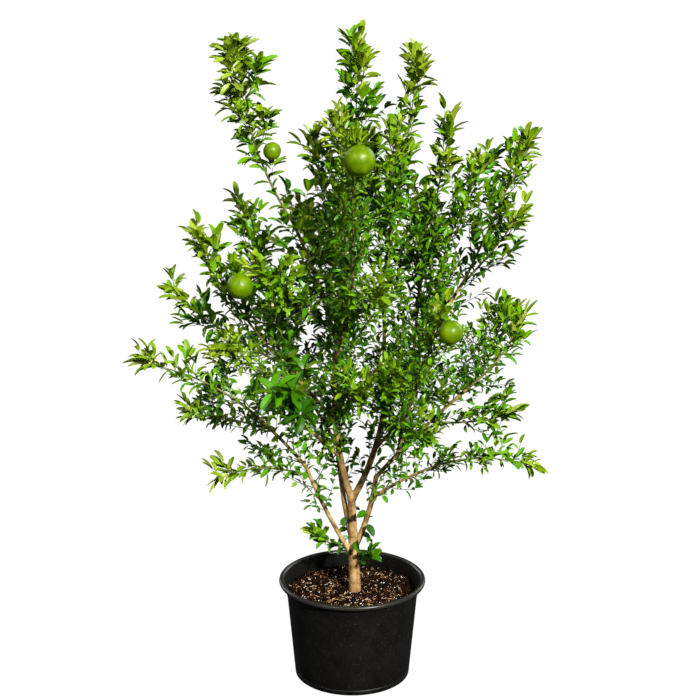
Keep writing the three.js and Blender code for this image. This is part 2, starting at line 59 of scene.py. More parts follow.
BODY = "root"
MM = 0.001
UP = np.array([0.0, 0.0, 1.0])

# Camera: where the photograph was taken from, in metres and degrees, and its focal length in pixels
CAMERA_PLACE = (-0.0054, -3.6656, 1.8393)
CAMERA_PITCH = 15.557
CAMERA_REACH = 300
PHOTO_WIDTH = 700
PHOTO_FOCAL = 1629
SENSOR_WIDTH = 36

# Studio floor: a dish whose rings are shares of its radius, outwards and upwards
FLOOR_SEGMENTS = 96
FLOOR_RINGS = ((0.9, 0.0), (0.96, 0.01), (1.0, 0.05), (1.02, 0.8))
# Lamps: the word that the names of each one's settings start with, and the side its azimuth turns to
LAMPS = {"key light": ("key", 1), "front fill": ("fill", 1), "right side light": ("side", 1),
         "left side light": ("side", -1)}

# Pot: moulded plastic with a rolled rim, a stacking ledge and drain notches; a round stretch of its
# outline runs from one angle to another in so many steps
POT_HEIGHT = 247
POT_BASE_RADIUS = 139.5
POT_TOP_RADIUS = 161.6
POT_WALL = 2.5
POT_FLOOR = 3
POT_INSIDE = 3.5
POT_SEGMENTS = 144
POT_SMOOTH_ANGLE = 32
HUB_RADIUS = 60
HUB_RISE = 2
BASE_RISE = 1
BASE_STEP = 2
BASE_RING_WIDTH = 12
BASE_ROUND = 3
BASE_ARC = (-90, 0, 4)
RIM_RADIUS = 177.5
RIM_ROLL = 6
RIM_SEAT = POT_HEIGHT - 2 * RIM_ROLL
RIM_ARC = (-75, 165, 14)
RIM_LIP_ARC = (190, -60, 8)
RIM_FLARE = (1.5, 4)
WALL_TOP = 229
WALL_RINGS = (60, 110, 160)
LEDGE_HEIGHT = 207
LEDGE_WIDTH = 1.3
LEDGE_EASE = 2
HEEL_HEIGHT = 13
HEEL_WIDTH = 0.7
HEEL_GROOVE = 1.5
EASED_EDGE = 0.2
EASED_EDGE_HEIGHT = 0.8
NOTCH_COUNT = 12
NOTCH_WIDTH = 14
NOTCH_HEIGHT = 9
NOTCH_ARCH = 4
NOTCH_ARC = (0, 180, 8)
NOTCH_SILL = 2.2
NOTCH_DEPTH = 24
NOTCH_START = -92

# Potting mix: a lumpy bed, with chips, fibres and grit strewn over it
MIX_HEIGHT = 212.3
MIX_SINK = 1.5
MIX_GAP = 3.8
MIX_FLOOR = 3.3
MIX_MIDDLE = 2
MIX_RINGS = 40
MIX_SEGMENTS = 96
MIX_LUMP = 3.2
MIX_LUMP_SIZE = 22
MIX_LUMP_SLICE = 0.3
MIX_OCTAVES = ((1, 1), (2.7, 0.5), (6, 0.25))
MIX_MOUND = 3
MIX_MOUND_RADIUS = 45
STREWN_RINGS = 30
STREWN_FROM_WALL = 7
STREWN_FROM_TRUNK = 21
STREWN_MIDDLE = 6
STREWN_TILT = 0.5
STREWN_TURN = 6.28
STREWN_SMOOTH_ANGLE = 40
CHIP_SIZE = (12, 7, 3)
FIBRE_CURL = 6.4
FIBRE_RADIUS = 0.64
FIBRE_SWEEP = 2.3
GRIT_RADIUS = 2
BED_CRUMB = 5

# Patterns of the finishes, in millimetres; the pot's grain and the peel's oil glands are finer on the
# real ones and drawn coarse enough to show
PLASTIC_SPECK = 2.6
PLASTIC_SCUFF = 38
PLASTIC_GRAIN = 1.6
BARK_STREAK_WIDTH = 8
BARK_STREAK_SQUEEZE = 0.22
BARK_PATCH = 21
# Heights over which the bark turns greener and darker; the darkening is painted shade inside the crown
YOUNG_WOOD_AND_SHADE_HEIGHTS = (560.0, 1050.0)
SHOOT_LINE = 9
LEAF_QUILT = 6
PEEL_PATCH = 17
PEEL_GLAND = 1.7
PAPER_TOOTH = 3

# Limbs: shared rule
ARC_STEPS = 12
GOLDEN_ANGLE = 137.5
SEED_STEP = 7919
DRAW_FACTOR = 16807
DRAW_RANGE = 2147483647
SPREAD_AT_FOOT = 62
SPREAD_AT_TIP = 34
TWIG_LIFT = 0.25
LEAF_LIFT = 0.25
TWIG_LEAF_LIFT = 0.05
USUAL_LEAF = 40.0


@dataclass
class Arc:
    """A limb, stem or twig: its run starts at a share along the one that carries it.

    Angles are in degrees and lengths in millimetres. Rise and heading gain bend and turn from foot
    to tip, radii are those at foot and tip, and the radius gains flare at the foot.
    In a mass, reach is how far the twigs reach from the stem at its foot and at its tip. They start
    at the share twigs_from, lean out by bushiness degrees more, and end in whorl leaves. A leaf is
    leaf long and a share width of that wide, a tint above 0 is paler, and ripest is the palest tint
    that the mass may reach. fruit holds the share where the stalk starts, where the fruit's middle
    lies from there, and its radius.
    On a bough, spurs are the shortest and longest of the leafy spurs that it bears above the height
    leafy, and leaf and tint are those of their leaves.
    """

    name: str
    on: str = ""
    at: float = 1.0
    heading: float = 0.0
    rise: float = 0.0
    length: float = 0.0
    bend: float = 0.0
    turn: float = 0.0
    radii: tuple = (4.0, 1.0)
    reach: tuple = (0.0, 0.0)
    flare: float = 0.0
    fruit: dict = None
    leaf: float = USUAL_LEAF
    leafy: float = 540.0
    spurs: tuple = (24.0, 76.0)
    width: float = 0.39
    tint: float = 0.0
    twigs_from: float = 0.0
    bushiness: float = 0.0
    ripest: int = 7
    whorl: int = 2
    points: np.ndarray = field(default=None, repr=False)


TRUNK_FOOT = (7, 0, MIX_HEIGHT - 6)
FLARE_HEIGHT = 18
TRUNK = Arc("trunk", heading=180, rise=88, length=244, radii=(14, 9), flare=1.5)

BOUGHS = [
    Arc("left_leader", "trunk", 0.98, 195, 72, 455, 30, radii=(8.5, 5), leafy=510),
    Arc("right_leader", "trunk", 0.98, 346, 61, 260, 22, radii=(8, 5.8), leafy=510),
    Arc("left_stem", "trunk", 0.37, 204, 59, 285, 10, radii=(5.6, 4.2), leafy=430, spurs=(30, 110)),
    Arc("right_stem", "trunk", 0.46, 331, 63, 210, 20, radii=(7.4, 5.6), leafy=330),
    Arc("back_stem", "trunk", 0.48, 165, 77, 720, 6, -165, radii=(6.6, 4), leafy=290),
    Arc("left_high", "left_leader", 0.85, 204, 76, 320, -11, radii=(4.6, 3.6), leaf=64, tint=1.5,
        spurs=(40, 110)),
    Arc("left_mid", "left_leader", 0.45, 175, 51, 230, -5, radii=(4.4, 3.5), spurs=(30, 95)),
    Arc("left_low_fork", "left_stem", 0.98, 184, 52, 180, -8, radii=(4.1, 3.5), leafy=440, spurs=(50, 150)),
    Arc("right_fork", "right_leader", 0.98, 14, 57, 355, 0, radii=(5.4, 3.7), spurs=(30, 100)),
    Arc("right_upright", "right_leader", 0.98, 92, 81, 315, 0, radii=(5.2, 3.7)),
    Arc("right_low_fork", "right_stem", 0.98, 352, 51, 320, -8, radii=(5, 3.6), spurs=(35, 125)),
    Arc("right_mid", "right_low_fork", 0.25, 66, 59, 370, 25, radii=(4.4, 3.5), spurs=(30, 115)),
    Arc("low_right", "right_stem", 0.72, 342, 39, 135, -10, radii=(4, 3.4), leafy=430, spurs=(30, 95)),
    Arc("front_left", "left_leader", 0.25, 234, 44, 185, -10, radii=(4.1, 3.4)),
    Arc("front_right", "right_leader", 0.55, 299, 43, 190, -5, radii=(4.1, 3.4)),
    Arc("front_high", "left_leader", 0.72, 287, 69, 270, -21, radii=(4.2, 3.4)),
    Arc("back_left", "back_stem", 0.35, 123, 32, 205, 5, radii=(4.3, 3.5)),
    Arc("back_right", "back_stem", 0.5, 46, 19, 220, 5, radii=(4.3, 3.5)),
]

# Masses of foliage, each by its stem's arc
MASSES = [
    Arc("foliage_top_left", "left_high", 1, 202, 57, 445, 32, reach=(54, 96), leaf=44, tint=1.0,
        twigs_from=0.22, bushiness=8, whorl=5,
        fruit={"at": 0.45, "offset": (36, -8, -9), "radius": 20}),
    Arc("foliage_top_centre", "back_stem", 1, 290, 87, 525, -4, reach=(110, 66), leaf=47),
    Arc("foliage_top_right", "right_upright", 1, 350, 79, 535, 5, reach=(100, 60), leaf=45),
    Arc("foliage_upper_right", "right_mid", 1, 356, 81, 480, -2, reach=(100, 56), leaf=43),
    Arc("foliage_far_right_high", "right_fork", 1, 14, 64, 375, 3, reach=(95, 62), leaf=44),
    Arc("foliage_right_shoulder", "right_fork", 0.55, 36, 85, 485, -40, reach=(118, 62), tint=-0.5),
    Arc("foliage_right_spur", "right_fork", 0.95, 329, 47, 275, 10, reach=(110, 46), tint=-0.5),
    Arc("foliage_right_side", "right_low_fork", 1, 11, 36, 235, 38, reach=(88, 50)),
    Arc("foliage_right_inner", "right_low_fork", 0.85, 46, 15, 305, 75, reach=(140, 90), leaf=36),
    Arc("foliage_right_lower", "right_low_fork", 0.6, 349, -2, 240, 28, reach=(120, 66)),
    Arc("foliage_low_right", "low_right", 1, 356, 28, 325, -54, reach=(75, 40), leaf=36),
    Arc("foliage_low_left", "left_stem", 0.88, 183, 25, 270, -60, reach=(80, 44), leaf=42, tint=0.8),
    Arc("foliage_left_lower", "left_low_fork", 0.7, 162, 11, 255, -15, reach=(130, 66)),
    Arc("foliage_left_arm", "left_low_fork", 1, 184, 43, 335, -38, reach=(92, 44), leaf=42, tint=0.4),
    Arc("foliage_left_middle", "left_mid", 0.8, 173, 23, 360, 22, reach=(98, 62), leaf=42),
    Arc("foliage_left_upper", "left_mid", 1, 194, 53, 370, 14, reach=(95, 62)),
    Arc("foliage_left_crest", "left_mid", 0.55, 156, 67, 475, 7, reach=(100, 54)),
    Arc("foliage_left_top", "left_leader", 1, 172, 84, 455, -6, reach=(105, 56)),
    Arc("foliage_left_inner", "left_mid", 0.35, 202, 31, 310, 0, reach=(125, 70), leaf=34),
    Arc("foliage_near_left", "front_left", 1, 260, 44, 285, -20, reach=(155, 112), leaf=50, tint=-1.5,
        width=0.44, ripest=2, whorl=7, bushiness=6),
    Arc("foliage_near_right", "front_right", 1, 304, 64, 340, 0, reach=(110, 55), leaf=32, ripest=5,
        fruit={"at": 0.8, "offset": (22, -37, -10), "radius": 27}),
    Arc("foliage_near_right_low", "front_right", 0.6, 294, 19, 225, -20, reach=(112, 70), leaf=32, ripest=4),
    Arc("foliage_near_top", "front_high", 1, 270, 68, 395, 20, reach=(110, 52), leaf=32, ripest=4,
        fruit={"at": 0.8, "offset": (14, -44, 2), "radius": 34}),
    Arc("foliage_near_centre", "front_high", 0.5, 290, 29, 320, 0, reach=(120, 65), leaf=32, ripest=4),
    Arc("foliage_near_middle", "left_leader", 0.5, 285, 28, 280, 0, reach=(135, 85), leaf=34, ripest=4),
    Arc("foliage_near_right_middle", "right_leader", 0.9, 277, 36, 300, 0, reach=(110, 65), leaf=32,
        ripest=4),
    Arc("foliage_near_upper_left", "left_high", 0.15, 225, 35, 330, 0, reach=(105, 50),
        fruit={"at": 0.9, "offset": (-27, -25, -22), "radius": 29}),
    Arc("foliage_back_left_low", "back_left", 0.6, 126, -13, 270, 0, reach=(82, 46), leaf=37),
    Arc("foliage_back_left", "back_left", 1, 118, 29, 275, 10, reach=(115, 60), leaf=34),
    Arc("foliage_back_right_low", "back_right", 0.6, 44, -25, 330, 0, reach=(82, 46), leaf=37),
    Arc("foliage_back_right", "back_right", 1, 52, 18, 275, 10, reach=(115, 60), leaf=34),
    Arc("foliage_back_centre", "back_stem", 0.6, 88, 13, 375, 0, reach=(108, 54), leaf=34),
    Arc("foliage_back_upper_left", "back_stem", 0.75, 120, 45, 365, 10, reach=(115, 52)),
    Arc("foliage_back_upper", "back_stem", 0.92, 66, 53, 365, 20, reach=(115, 55)),
    Arc("foliage_back_upper_right", "right_mid", 0.85, 81, 43, 360, 10, reach=(115, 52)),
    Arc("foliage_top_middle", "right_upright", 0.6, 284, 77, 510, 10, reach=(105, 50), leaf=34),
    Arc("foliage_top_inner", "front_high", 0.85, 107, 72, 440, 20, reach=(105, 50), leaf=34),
    # The sprouts low on the trunk take darker tints, partly as painted shade under the crown
    Arc("foliage_sprout_left", "trunk", 0.45, 197, 20, 160, 20, reach=(46, 36), leaf=34, width=0.52,
        tint=-1.6),
    Arc("foliage_sprout_right", "trunk", 0.3, 316, 32, 125, 10, reach=(32, 20), leaf=36, width=0.6,
        tint=-3.4, ripest=3),
]

# Bark: fine tubes joined by a voxel mesh, then its relief
BARK_SIDES = 20
BARK_RING_STEP = 5
FEWEST_BARK_RINGS = 6
BARK_VOXEL = 1.62
BARK_SMOOTHING = 5
BARK_GROWN = 0.25
COLLAR = 0.3
COLLAR_HEIGHT = 9
BARK_LUMP_SIZE = 19
BARK_STREAK_SIZE = 3.5
BARK_STREAK_STRETCH = 9
BARK_RING_SPACING = 27
BARK_RING_WIDTH = 2.2
BARK_RING_WANDER = 0.35
BARK_RING_RUN = 60
BARK_RING_WAVE = 2.5
LUMP_RELIEF = 0.5
STREAK_RELIEF = 0.1
RING_RELIEF = 0.4
RING_EVENNESS = 0.6
THIN_LIMB_RELIEF = 0.4
RELIEF_RADIUS = 10
# Short pruned stubs: the limb, the share along it, the direction round it, and the length
STUBS = [("right_stem", 0.75, -40, 15), ("left_leader", 0.32, 20, 10), ("right_leader", 0.3, 160, 9),
         ("trunk", 0.62, 200, 6), ("left_leader", 0.6, -30, 9), ("right_fork", 0.3, 60, 9)]
STUB_SPREAD = 58
STUB_STEPS = (0, 0.35, 0.7, 0.95, 1.0)
STUB_RADII = (3.6, 3.6, 3.0, 3.0, 2.1)

# Stems of the masses, and the nodes along them, from foot to tip
STEM_RADII = (3.4, 1.0)
STEM_STATIONS = 16
STEM_SIDES = 8
FIRST_NODE = 0.05
NODE_SPACING = (11.6, 9)
CLOSEST_NODES = 0.9
NODE_JITTER = 24

# Twigs: one at every second node, as long as a share of their mass's reach less a part of a leaf
TWIG_EVERY = 2
TWIG_REACH = 1.22
TWIG_VARIATION = (0.68, 1.1)
TWIG_LEAF_ROOM = 0.6
SPIRE_TAPER = 0.62
TWIG_SPREAD_JITTER = 12
LEVEL_TWIG_LIFT = 0.05
TWIG_BEND = (14, 44)
STEEPEST_TWIG = 84
TWIG_SHORTENINGS = (1.0, 0.75, 0.5)
SHORTEST_TWIG = 20
OUTER_POINTS = slice(5, None, 2)
TWIG_MESH_POINTS = slice(None, None, 3)
TWIG_RADIUS = 0.55
TWIG_RADIUS_BY_LENGTH = 0.009
TWIG_SIDES = 5
FIRST_TWIG_NODE = 8
BARE_TWIG_END = 3
TWIG_NODE_SHARE = 0.38
TWIG_NODE_VARIATION = (0.8, 1.2)

# Smaller twigs on the longer ones, except on those that end in a large whorl
SUBTWIG_FROM = 48
SUBTWIG_SHARES = (0.24, 0.44, 0.62, 0.78)
SUBTWIG_LENGTH = (0.3, 0.5)
SUBTWIG_SPREAD = 48
SUBTWIG_START = 70
SUBTWIG_LEAF = 0.92
LARGE_WHORL = 6

# Tips: a pair or a whorl of leaves ends a twig, and a fan of leaves ends a stem
PAIR_SPREAD = (8, 28)
WHORL_SPREAD = (58, 82)
UPRIGHT_WHORL = 0.5
WHORL_VARIATION = (0.9, 1.1)
WHORL_LIFT = 0.1
TIP_LEAF = 1.15
TIP_LEAF_ROOM = 0.92
TIP_FAN = 7
TIP_FAN_SPREAD = (42, 5)
TIP_FAN_STEP = 6
TIP_FAN_LIFT = 0.05

# Leaves: their sizes, how they stand, and how often one looks for a free place
LEAF_SIZE_ALONG = (0.82, 1.2)
LEAF_VARIATION = (0.72, 1.07)
LEAF_SPREAD = (64, 54)
TWIG_LEAF_SPREAD = (72, 48)
LEVEL_LEAF_LIFT = 0.25
LEAF_ROLL = 42
LEAF_BEND = (12, 50)
LEAF_FOLD = (16, 42)
LEAF_THICKNESS = 0.012
LEAF_WIDEST = 0.55
LEAF_SMOOTH_ANGLE = 22
LEAF_TRIES = 4
LEAF_SHRINK = 0.08
# Shares along a leaf, with the half width there, from the stalk to the tip
LEAF_STATIONS = np.array([0.1, 0.24, 0.46, 0.72, 0.91])
LEAF_HALF_WIDTHS = np.array([0.06, 0.72, 1.0, 0.9, 0.5])

# Tints, from deep in the crown to a stem's tip: partly the leaves' own age, and partly painted shade deep in
# the crown and painted light towards the outer tips
TINT_NAMES = ("deep", "dark", "green", "lush", "olive", "bright", "fresh", "young")
TINT_RANGE = (1.0, 5.8)
TINT_CURVE = 1.6
TINT_VARIATION = 1.6
UNDERSIDE_PALENESS = 0.3

# Room: how far spaces overlap, how clear foliage keeps of limbs and fruit, and the window that it leaves
# open in front of a fruit, as long as FRUIT_WINDOW and rising by SIGHT_SLOPE
POINTS_AT_A_TIME = 1000
SPACE_OVERLAP = 10
LIMB_MARGIN = 2.5
FRUIT_MARGIN = 2.5
FRUIT_WINDOW = 170
SIGHT_SLOPE = 0.28

# Spurs on the boughs, and the lone drooping leaves lower down
ON_BOUGH = -1
SPUR_SPACING = 13
SPUR_VARIATION = (0.7, 1.3)
SPUR_LEAF_SHARE = 0.65
SPUR_LEAF_WIDTH = 0.48
SPUR_TINTS = 3.7
SPUR_LOWEST = 430
LONE_LEAF = 40
LONE_WIDTH = 0.62
LONE_LIFT = -0.5
# The lone leaves low under the crown take only the two darkest tints, partly as painted shade
LONE_TINTS = 2
LONE_SPACING = 1.4

# Blossom buds, in clusters at some of the tips of tint BUD_TINT and paler
BUD_SEED = 4321
BUD_TINT = 4
BUD_CLUSTER = 3
BUD_STAND = (3, 8)
BUD_LENGTH = 6.5
BUD_WIDTH = 3.4
BUD_RINGS = 5
BUD_SIDES = 6

# Fruit: its lumps as scale and height, and its dimple and nipple as depth and width; heights and depths
# are shares of the radius, and widths are in radians
FRUIT_RINGS = 40
FRUIT_SEGMENTS = 56
FRUIT_SQUASH = 0.965
FRUIT_LUMPS = ((2.2, 0.012), (9, 0.004))
FRUIT_DIMPLE = (0.07, 0.22)
FRUIT_NIPPLE = (0.035, 0.2)
CALYX_LOBES = 5
CALYX_SIDES = 6 * CALYX_LOBES
CALYX_RADIUS = 5.2
CALYX_LOBING = 0.32
CALYX_SEAT = 0.935
CALYX_RINGS = ((0.0, 0.35), (-0.2, 1.0), (0.5, 1.0), (1.3, 0.4))
CALYX_TOP = 1.6
STALK_RADII = (1.725, 1.35)
STALK_SEAT = 0.96
STALK_BOW = 9
STALK_UPRIGHT = 0.9
STALK_STATIONS = 9
STALK_SIDES = 8


def mix(start, end, share):
    return start + (end - start) * share


def unit(vector):
    return vector / np.linalg.norm(vector)


def draws_from(seed):
    """Repeatable draws from 0 to 1, as in the part's source."""
    state = seed * SEED_STEP
    while True:
        state = state * DRAW_FACTOR % DRAW_RANGE
        yield state / DRAW_RANGE


# Colour and materials
def linear(code):
    """A linear colour from an sRGB hex value."""
    channels = [int(code[i:i + 2], 16) / 255 for i in (1, 3, 5)]
    return tuple(c / 12.92 if c <= 0.04045 else ((c + 0.055) / 1.055) ** 2.4 for c in channels)


def opaque(colour):
    return (*colour[:3], 1.0)


def blend(first, second, share):
    return tuple(mix(a, b, share) for a, b in zip(first[:3], second[:3]))


def add_node(tree, kind, values=None, links=None, feeds=None, stops=None, **settings):
    """Adds a node with its settings, input values, the outputs linked into it, the inputs that its own
    outputs feed, and the stops of its colour ramp."""
    node = tree.nodes.new(kind)
    for name, value in settings.items():
        setattr(node, name, value)
    for socket, value in (values or {}).items():
        node.inputs[socket].default_value = value
    for socket, source in (links or {}).items():
        tree.links.new(source, node.inputs[socket])
    for socket, target in (feeds or {}).items():
        tree.links.new(node.outputs[socket], target)
    if stops:
        ramp = node.color_ramp
        while len(ramp.elements) < len(stops):
            ramp.elements.new(1.0)
        for element, (place, colour) in zip(ramp.elements, stops):
            element.position = place
            element.color = opaque(colour)
    return node


def new_material(name, finish):
    """An empty material with its node tree, its shader with its own values, and Object coordinates in
    millimetres."""
    material = bpy.data.materials.new(name)
    material.use_nodes = True
    tree = material.node_tree
    tree.nodes.clear()
    shader = add_node(tree, "ShaderNodeBsdfPrincipled", finish)
    add_node(tree, "ShaderNodeOutputMaterial", links={"Surface": shader.outputs["BSDF"]})
    coordinates = add_node(tree, "ShaderNodeTexCoord")
    place = add_node(tree, "ShaderNodeMapping", {"Scale": (1 / MM,) * 3},
                     {"Vector": coordinates.outputs["Object"]})
    return material, tree, shader, place.outputs["Vector"]


def grey(value):
    return (value, value, value)


def moulded_polypropylene(name, colour, dust, roughness, specular):
    """Injection-moulded black polypropylene: a satin skin with a fine grain, scuffs and dust specks,
    smoother where hands hold it and matt where soil has dried on it."""
    material, tree, shader, place = new_material(name, {"IOR": 1.49, "Specular IOR Level": specular})
    specks = add_node(tree, "ShaderNodeTexNoise",
                      {"Scale": 1 / PLASTIC_SPECK, "Detail": 3.0, "Roughness": 0.6}, {"Vector": place})
    add_node(tree, "ShaderNodeValToRGB", links={"Fac": specks.outputs["Fac"]},
             feeds={"Color": shader.inputs["Base Color"]},
             stops=[(0.0, colour), (0.66, colour), (0.76, dust)])
    scuffs = add_node(tree, "ShaderNodeTexNoise",
                      {"Scale": 1 / PLASTIC_SCUFF, "Detail": 5.0, "Distortion": 0.6}, {"Vector": place})
    add_node(tree, "ShaderNodeValToRGB", links={"Fac": scuffs.outputs["Fac"]},
             feeds={"Color": shader.inputs["Roughness"]},
             stops=[(0.3, grey(roughness - 0.07)), (0.72, grey(roughness + 0.1))])
    grain = add_node(tree, "ShaderNodeTexNoise", {"Scale": 1 / PLASTIC_GRAIN, "Detail": 3.0},
                     {"Vector": place})
    add_node(tree, "ShaderNodeBump", {"Strength": 0.35, "Distance": 0.15 * MM},
             {"Height": grain.outputs["Fac"]}, {"Normal": shader.inputs["Normal"]})
    return material


def rotting_bark_mix(name, dark, light, crumb_size):
    """Composted bark, peat and grit: matt crumbs with lighter fibres; on the bed its near-black colours are
    partly the mix's own and partly painted shade in the gaps between the chips.
    """
    material, tree, shader, place = new_material(name, {"Roughness": 0.93, "Specular IOR Level": 0.05})
    crumbs = add_node(tree, "ShaderNodeTexNoise",
                      {"Scale": 1 / crumb_size, "Detail": 6.0, "Roughness": 0.65}, {"Vector": place})
    add_node(tree, "ShaderNodeValToRGB", links={"Fac": crumbs.outputs["Fac"]},
             feeds={"Color": shader.inputs["Base Color"]}, stops=[(0.36, dark), (0.66, light)])
    add_node(tree, "ShaderNodeBump", {"Strength": 0.8, "Distance": 1.2 * MM},
             {"Height": crumbs.outputs["Fac"]}, {"Normal": shader.inputs["Normal"]})
    return material


def citrus_bark(name, settings):
    """Young citrus bark: smooth and tan, with soft brown mottling, faint streaks along the limb and
    greener, darker wood higher up: the green is the young wood's own, the darkening painted shade inside the
    crown."""
    material, tree, shader, place = new_material(name, {"Roughness": 0.72, "Specular IOR Level": 0.3})
    long_grain = add_node(tree, "ShaderNodeMapping", {"Scale": (1.0, 1.0, BARK_STREAK_SQUEEZE)},
                          {"Vector": place})
    streaks = add_node(tree, "ShaderNodeTexNoise",
                       {"Scale": 1 / BARK_STREAK_WIDTH, "Detail": 4.0, "Distortion": 0.4},
                       {"Vector": long_grain.outputs["Vector"]})
    patches = add_node(tree, "ShaderNodeTexNoise", {"Scale": 1 / BARK_PATCH, "Detail": 3.0},
                       {"Vector": place})
    mottling = add_node(tree, "ShaderNodeMath", {1: 0.5},
                        {0: streaks.outputs["Fac"], 2: patches.outputs["Fac"]}, operation="MULTIPLY_ADD")
    tan = add_node(tree, "ShaderNodeValToRGB", links={"Fac": mottling.outputs["Value"]},
                   stops=[(0.56, settings.shade_colour), (0.73, settings.colour),
                          (0.92, settings.light_colour)])
    # Higher up the bark turns to the young wood's colour: its green is the wood's own, its darkness painted
    # shade inside the crown
    height = add_node(tree, "ShaderNodeSeparateXYZ", links={"Vector": place})
    low, high = YOUNG_WOOD_AND_SHADE_HEIGHTS
    higher = add_node(tree, "ShaderNodeMapRange", {"From Min": low, "From Max": high},
                      {"Value": height.outputs["Z"]})
    greener = add_node(tree, "ShaderNodeMath",
                       links={0: higher.outputs["Result"], 1: patches.outputs["Fac"]}, operation="MULTIPLY")
    add_node(tree, "ShaderNodeMix", {7: opaque(settings.young_colour)},
             {0: greener.outputs["Value"], 6: tan.outputs["Color"]}, {2: shader.inputs["Base Color"]},
             data_type="RGBA")
    add_node(tree, "ShaderNodeBump", {"Strength": 0.4, "Distance": 0.4 * MM},
             {"Height": streaks.outputs["Fac"]}, {"Normal": shader.inputs["Normal"]})
    return material


def green_shoot(name, colour, woody):
    """First-year citrus shoots: green skin with faint corky lines, a little waxy."""
    material, tree, shader, place = new_material(name, {"Roughness": 0.55, "Specular IOR Level": 0.3})
    lines = add_node(tree, "ShaderNodeTexNoise", {"Scale": 1 / SHOOT_LINE, "Detail": 4.0}, {"Vector": place})
    add_node(tree, "ShaderNodeValToRGB", links={"Fac": lines.outputs["Fac"]},
             feeds={"Color": shader.inputs["Base Color"]}, stops=[(0.35, colour), (0.7, woody)])
    add_node(tree, "ShaderNodeBump", {"Strength": 0.3, "Distance": 0.3 * MM},
             {"Height": lines.outputs["Fac"]}, {"Normal": shader.inputs["Normal"]})
    return material


def citrus_leaf(name, colour, roughness, specular):
    """A citrus leaf face: plain green skin, quilted between its veins, waxy above and matt beneath."""
    material, tree, shader, place = new_material(name, {"Base Color": opaque(colour),
                                                        "Specular IOR Level": specular})
    quilting = add_node(tree, "ShaderNodeTexNoise", {"Scale": 1 / LEAF_QUILT, "Detail": 2.0},
                        {"Vector": place})
    add_node(tree, "ShaderNodeMapRange", {"To Min": roughness - 0.06, "To Max": roughness + 0.1},
             {"Value": quilting.outputs["Fac"]}, {"Result": shader.inputs["Roughness"]})
    add_node(tree, "ShaderNodeBump", {"Strength": 0.3, "Distance": 0.8 * MM},
             {"Height": quilting.outputs["Fac"]}, {"Normal": shader.inputs["Normal"]})
    return material


def citrus_peel(name, settings):
    """Unripe citrus peel: waxy green skin, mottled yellower, with oil glands as fine pits."""
    material, tree, shader, place = new_material(name, {"Roughness": 0.34, "Specular IOR Level": 0.26})
    mottling = add_node(tree, "ShaderNodeTexNoise", {"Scale": 1 / PEEL_PATCH, "Detail": 3.0},
                        {"Vector": place})
    add_node(tree, "ShaderNodeValToRGB", links={"Fac": mottling.outputs["Fac"]},
             feeds={"Color": shader.inputs["Base Color"]},
             stops=[(0.34, settings.peel_colour), (0.7, settings.peel_light_colour)])
    glands = add_node(tree, "ShaderNodeTexVoronoi", {"Scale": 1 / PEEL_GLAND}, {"Vector": place})
    add_node(tree, "ShaderNodeBump", {"Strength": 0.35, "Distance": 0.35 * MM},
             {"Height": glands.outputs["Distance"]}, {"Normal": shader.inputs["Normal"]})
    return material


def lit_paper(name, colour, glow):
    """Translucent studio paper over a light table: pale all over, with a faint tooth and soft shadows."""
    material, tree, shader, place = new_material(name, {
        "Base Color": opaque(colour), "Roughness": 0.95, "Specular IOR Level": 0.0,
        "Emission Color": (1.0, 1.0, 1.0, 1.0), "Emission Strength": glow})
    tooth = add_node(tree, "ShaderNodeTexNoise", {"Scale": 1 / PAPER_TOOTH, "Detail": 2.0},
                     {"Vector": place})
    add_node(tree, "ShaderNodeBump", {"Strength": 0.1, "Distance": 0.1 * MM},
             {"Height": tooth.outputs["Fac"]}, {"Normal": shader.inputs["Normal"]})
    return material


# Meshes
def smooth_below(mesh, degrees):
    """Shades a mesh smooth, but sharp where its faces meet at more than an angle."""
    mesh.shade_smooth()
    mesh.set_sharp_from_angle(angle=math.radians(degrees))


def mesh_object(name, points, faces, materials, indices=None):
    """A mesh object from arrays of corners and triangles, with its materials dealt out by face."""
    points = np.asarray(points, dtype=np.float32)
    faces = np.asarray(faces, dtype=np.int32)
    mesh = bpy.data.meshes.new(name)
    mesh.vertices.add(len(points))
    mesh.vertices.foreach_set("co", points.ravel())
    mesh.loops.add(faces.size)
    mesh.loops.foreach_set("vertex_index", faces.ravel())
    mesh.polygons.add(len(faces))
    mesh.polygons.foreach_set("loop_start", np.arange(0, faces.size, 3, dtype=np.int32))
    for material in materials:
        mesh.materials.append(material)
    if indices is not None:
        mesh.polygons.foreach_set("material_index", np.asarray(indices, dtype=np.int32))
    mesh.update(calc_edges=True)
    if mesh.validate():
        raise RuntimeError(f"{name} has broken faces")
    mesh.shade_smooth()
    piece = bpy.data.objects.new(name, mesh)
    bpy.context.scene.collection.objects.link(piece)
    return piece


class Shape:
    """Corners and triangles gathered from many small shapes."""

    def __init__(self):
        self.points = []
        self.faces = []
        self.total = 0

    def add(self, points, faces):
        self.points.append(points)
        self.faces.append(np.asarray(faces) + self.total)
        self.total += len(points)

    def to_object(self, name, materials):
        points = np.concatenate(self.points) * MM
        return mesh_object(name, points, np.concatenate(self.faces), materials)


def declare(piece, nodes):
    """Puts a finished piece on the plant's body, and hides the CAD nodes that it stands for."""
    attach(piece, BODY)
    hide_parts(*nodes)


def evaluated_mesh(piece, name):
    """A plain mesh of an object with its modifiers applied, in place of the object."""
    graph = bpy.context.evaluated_depsgraph_get()
    mesh = bpy.data.meshes.new_from_object(piece.evaluated_get(graph))
    mesh.name = name
    bpy.data.objects.remove(piece, do_unlink=True)
    made = bpy.data.objects.new(name, mesh)
    bpy.context.scene.collection.objects.link(made)
    return made


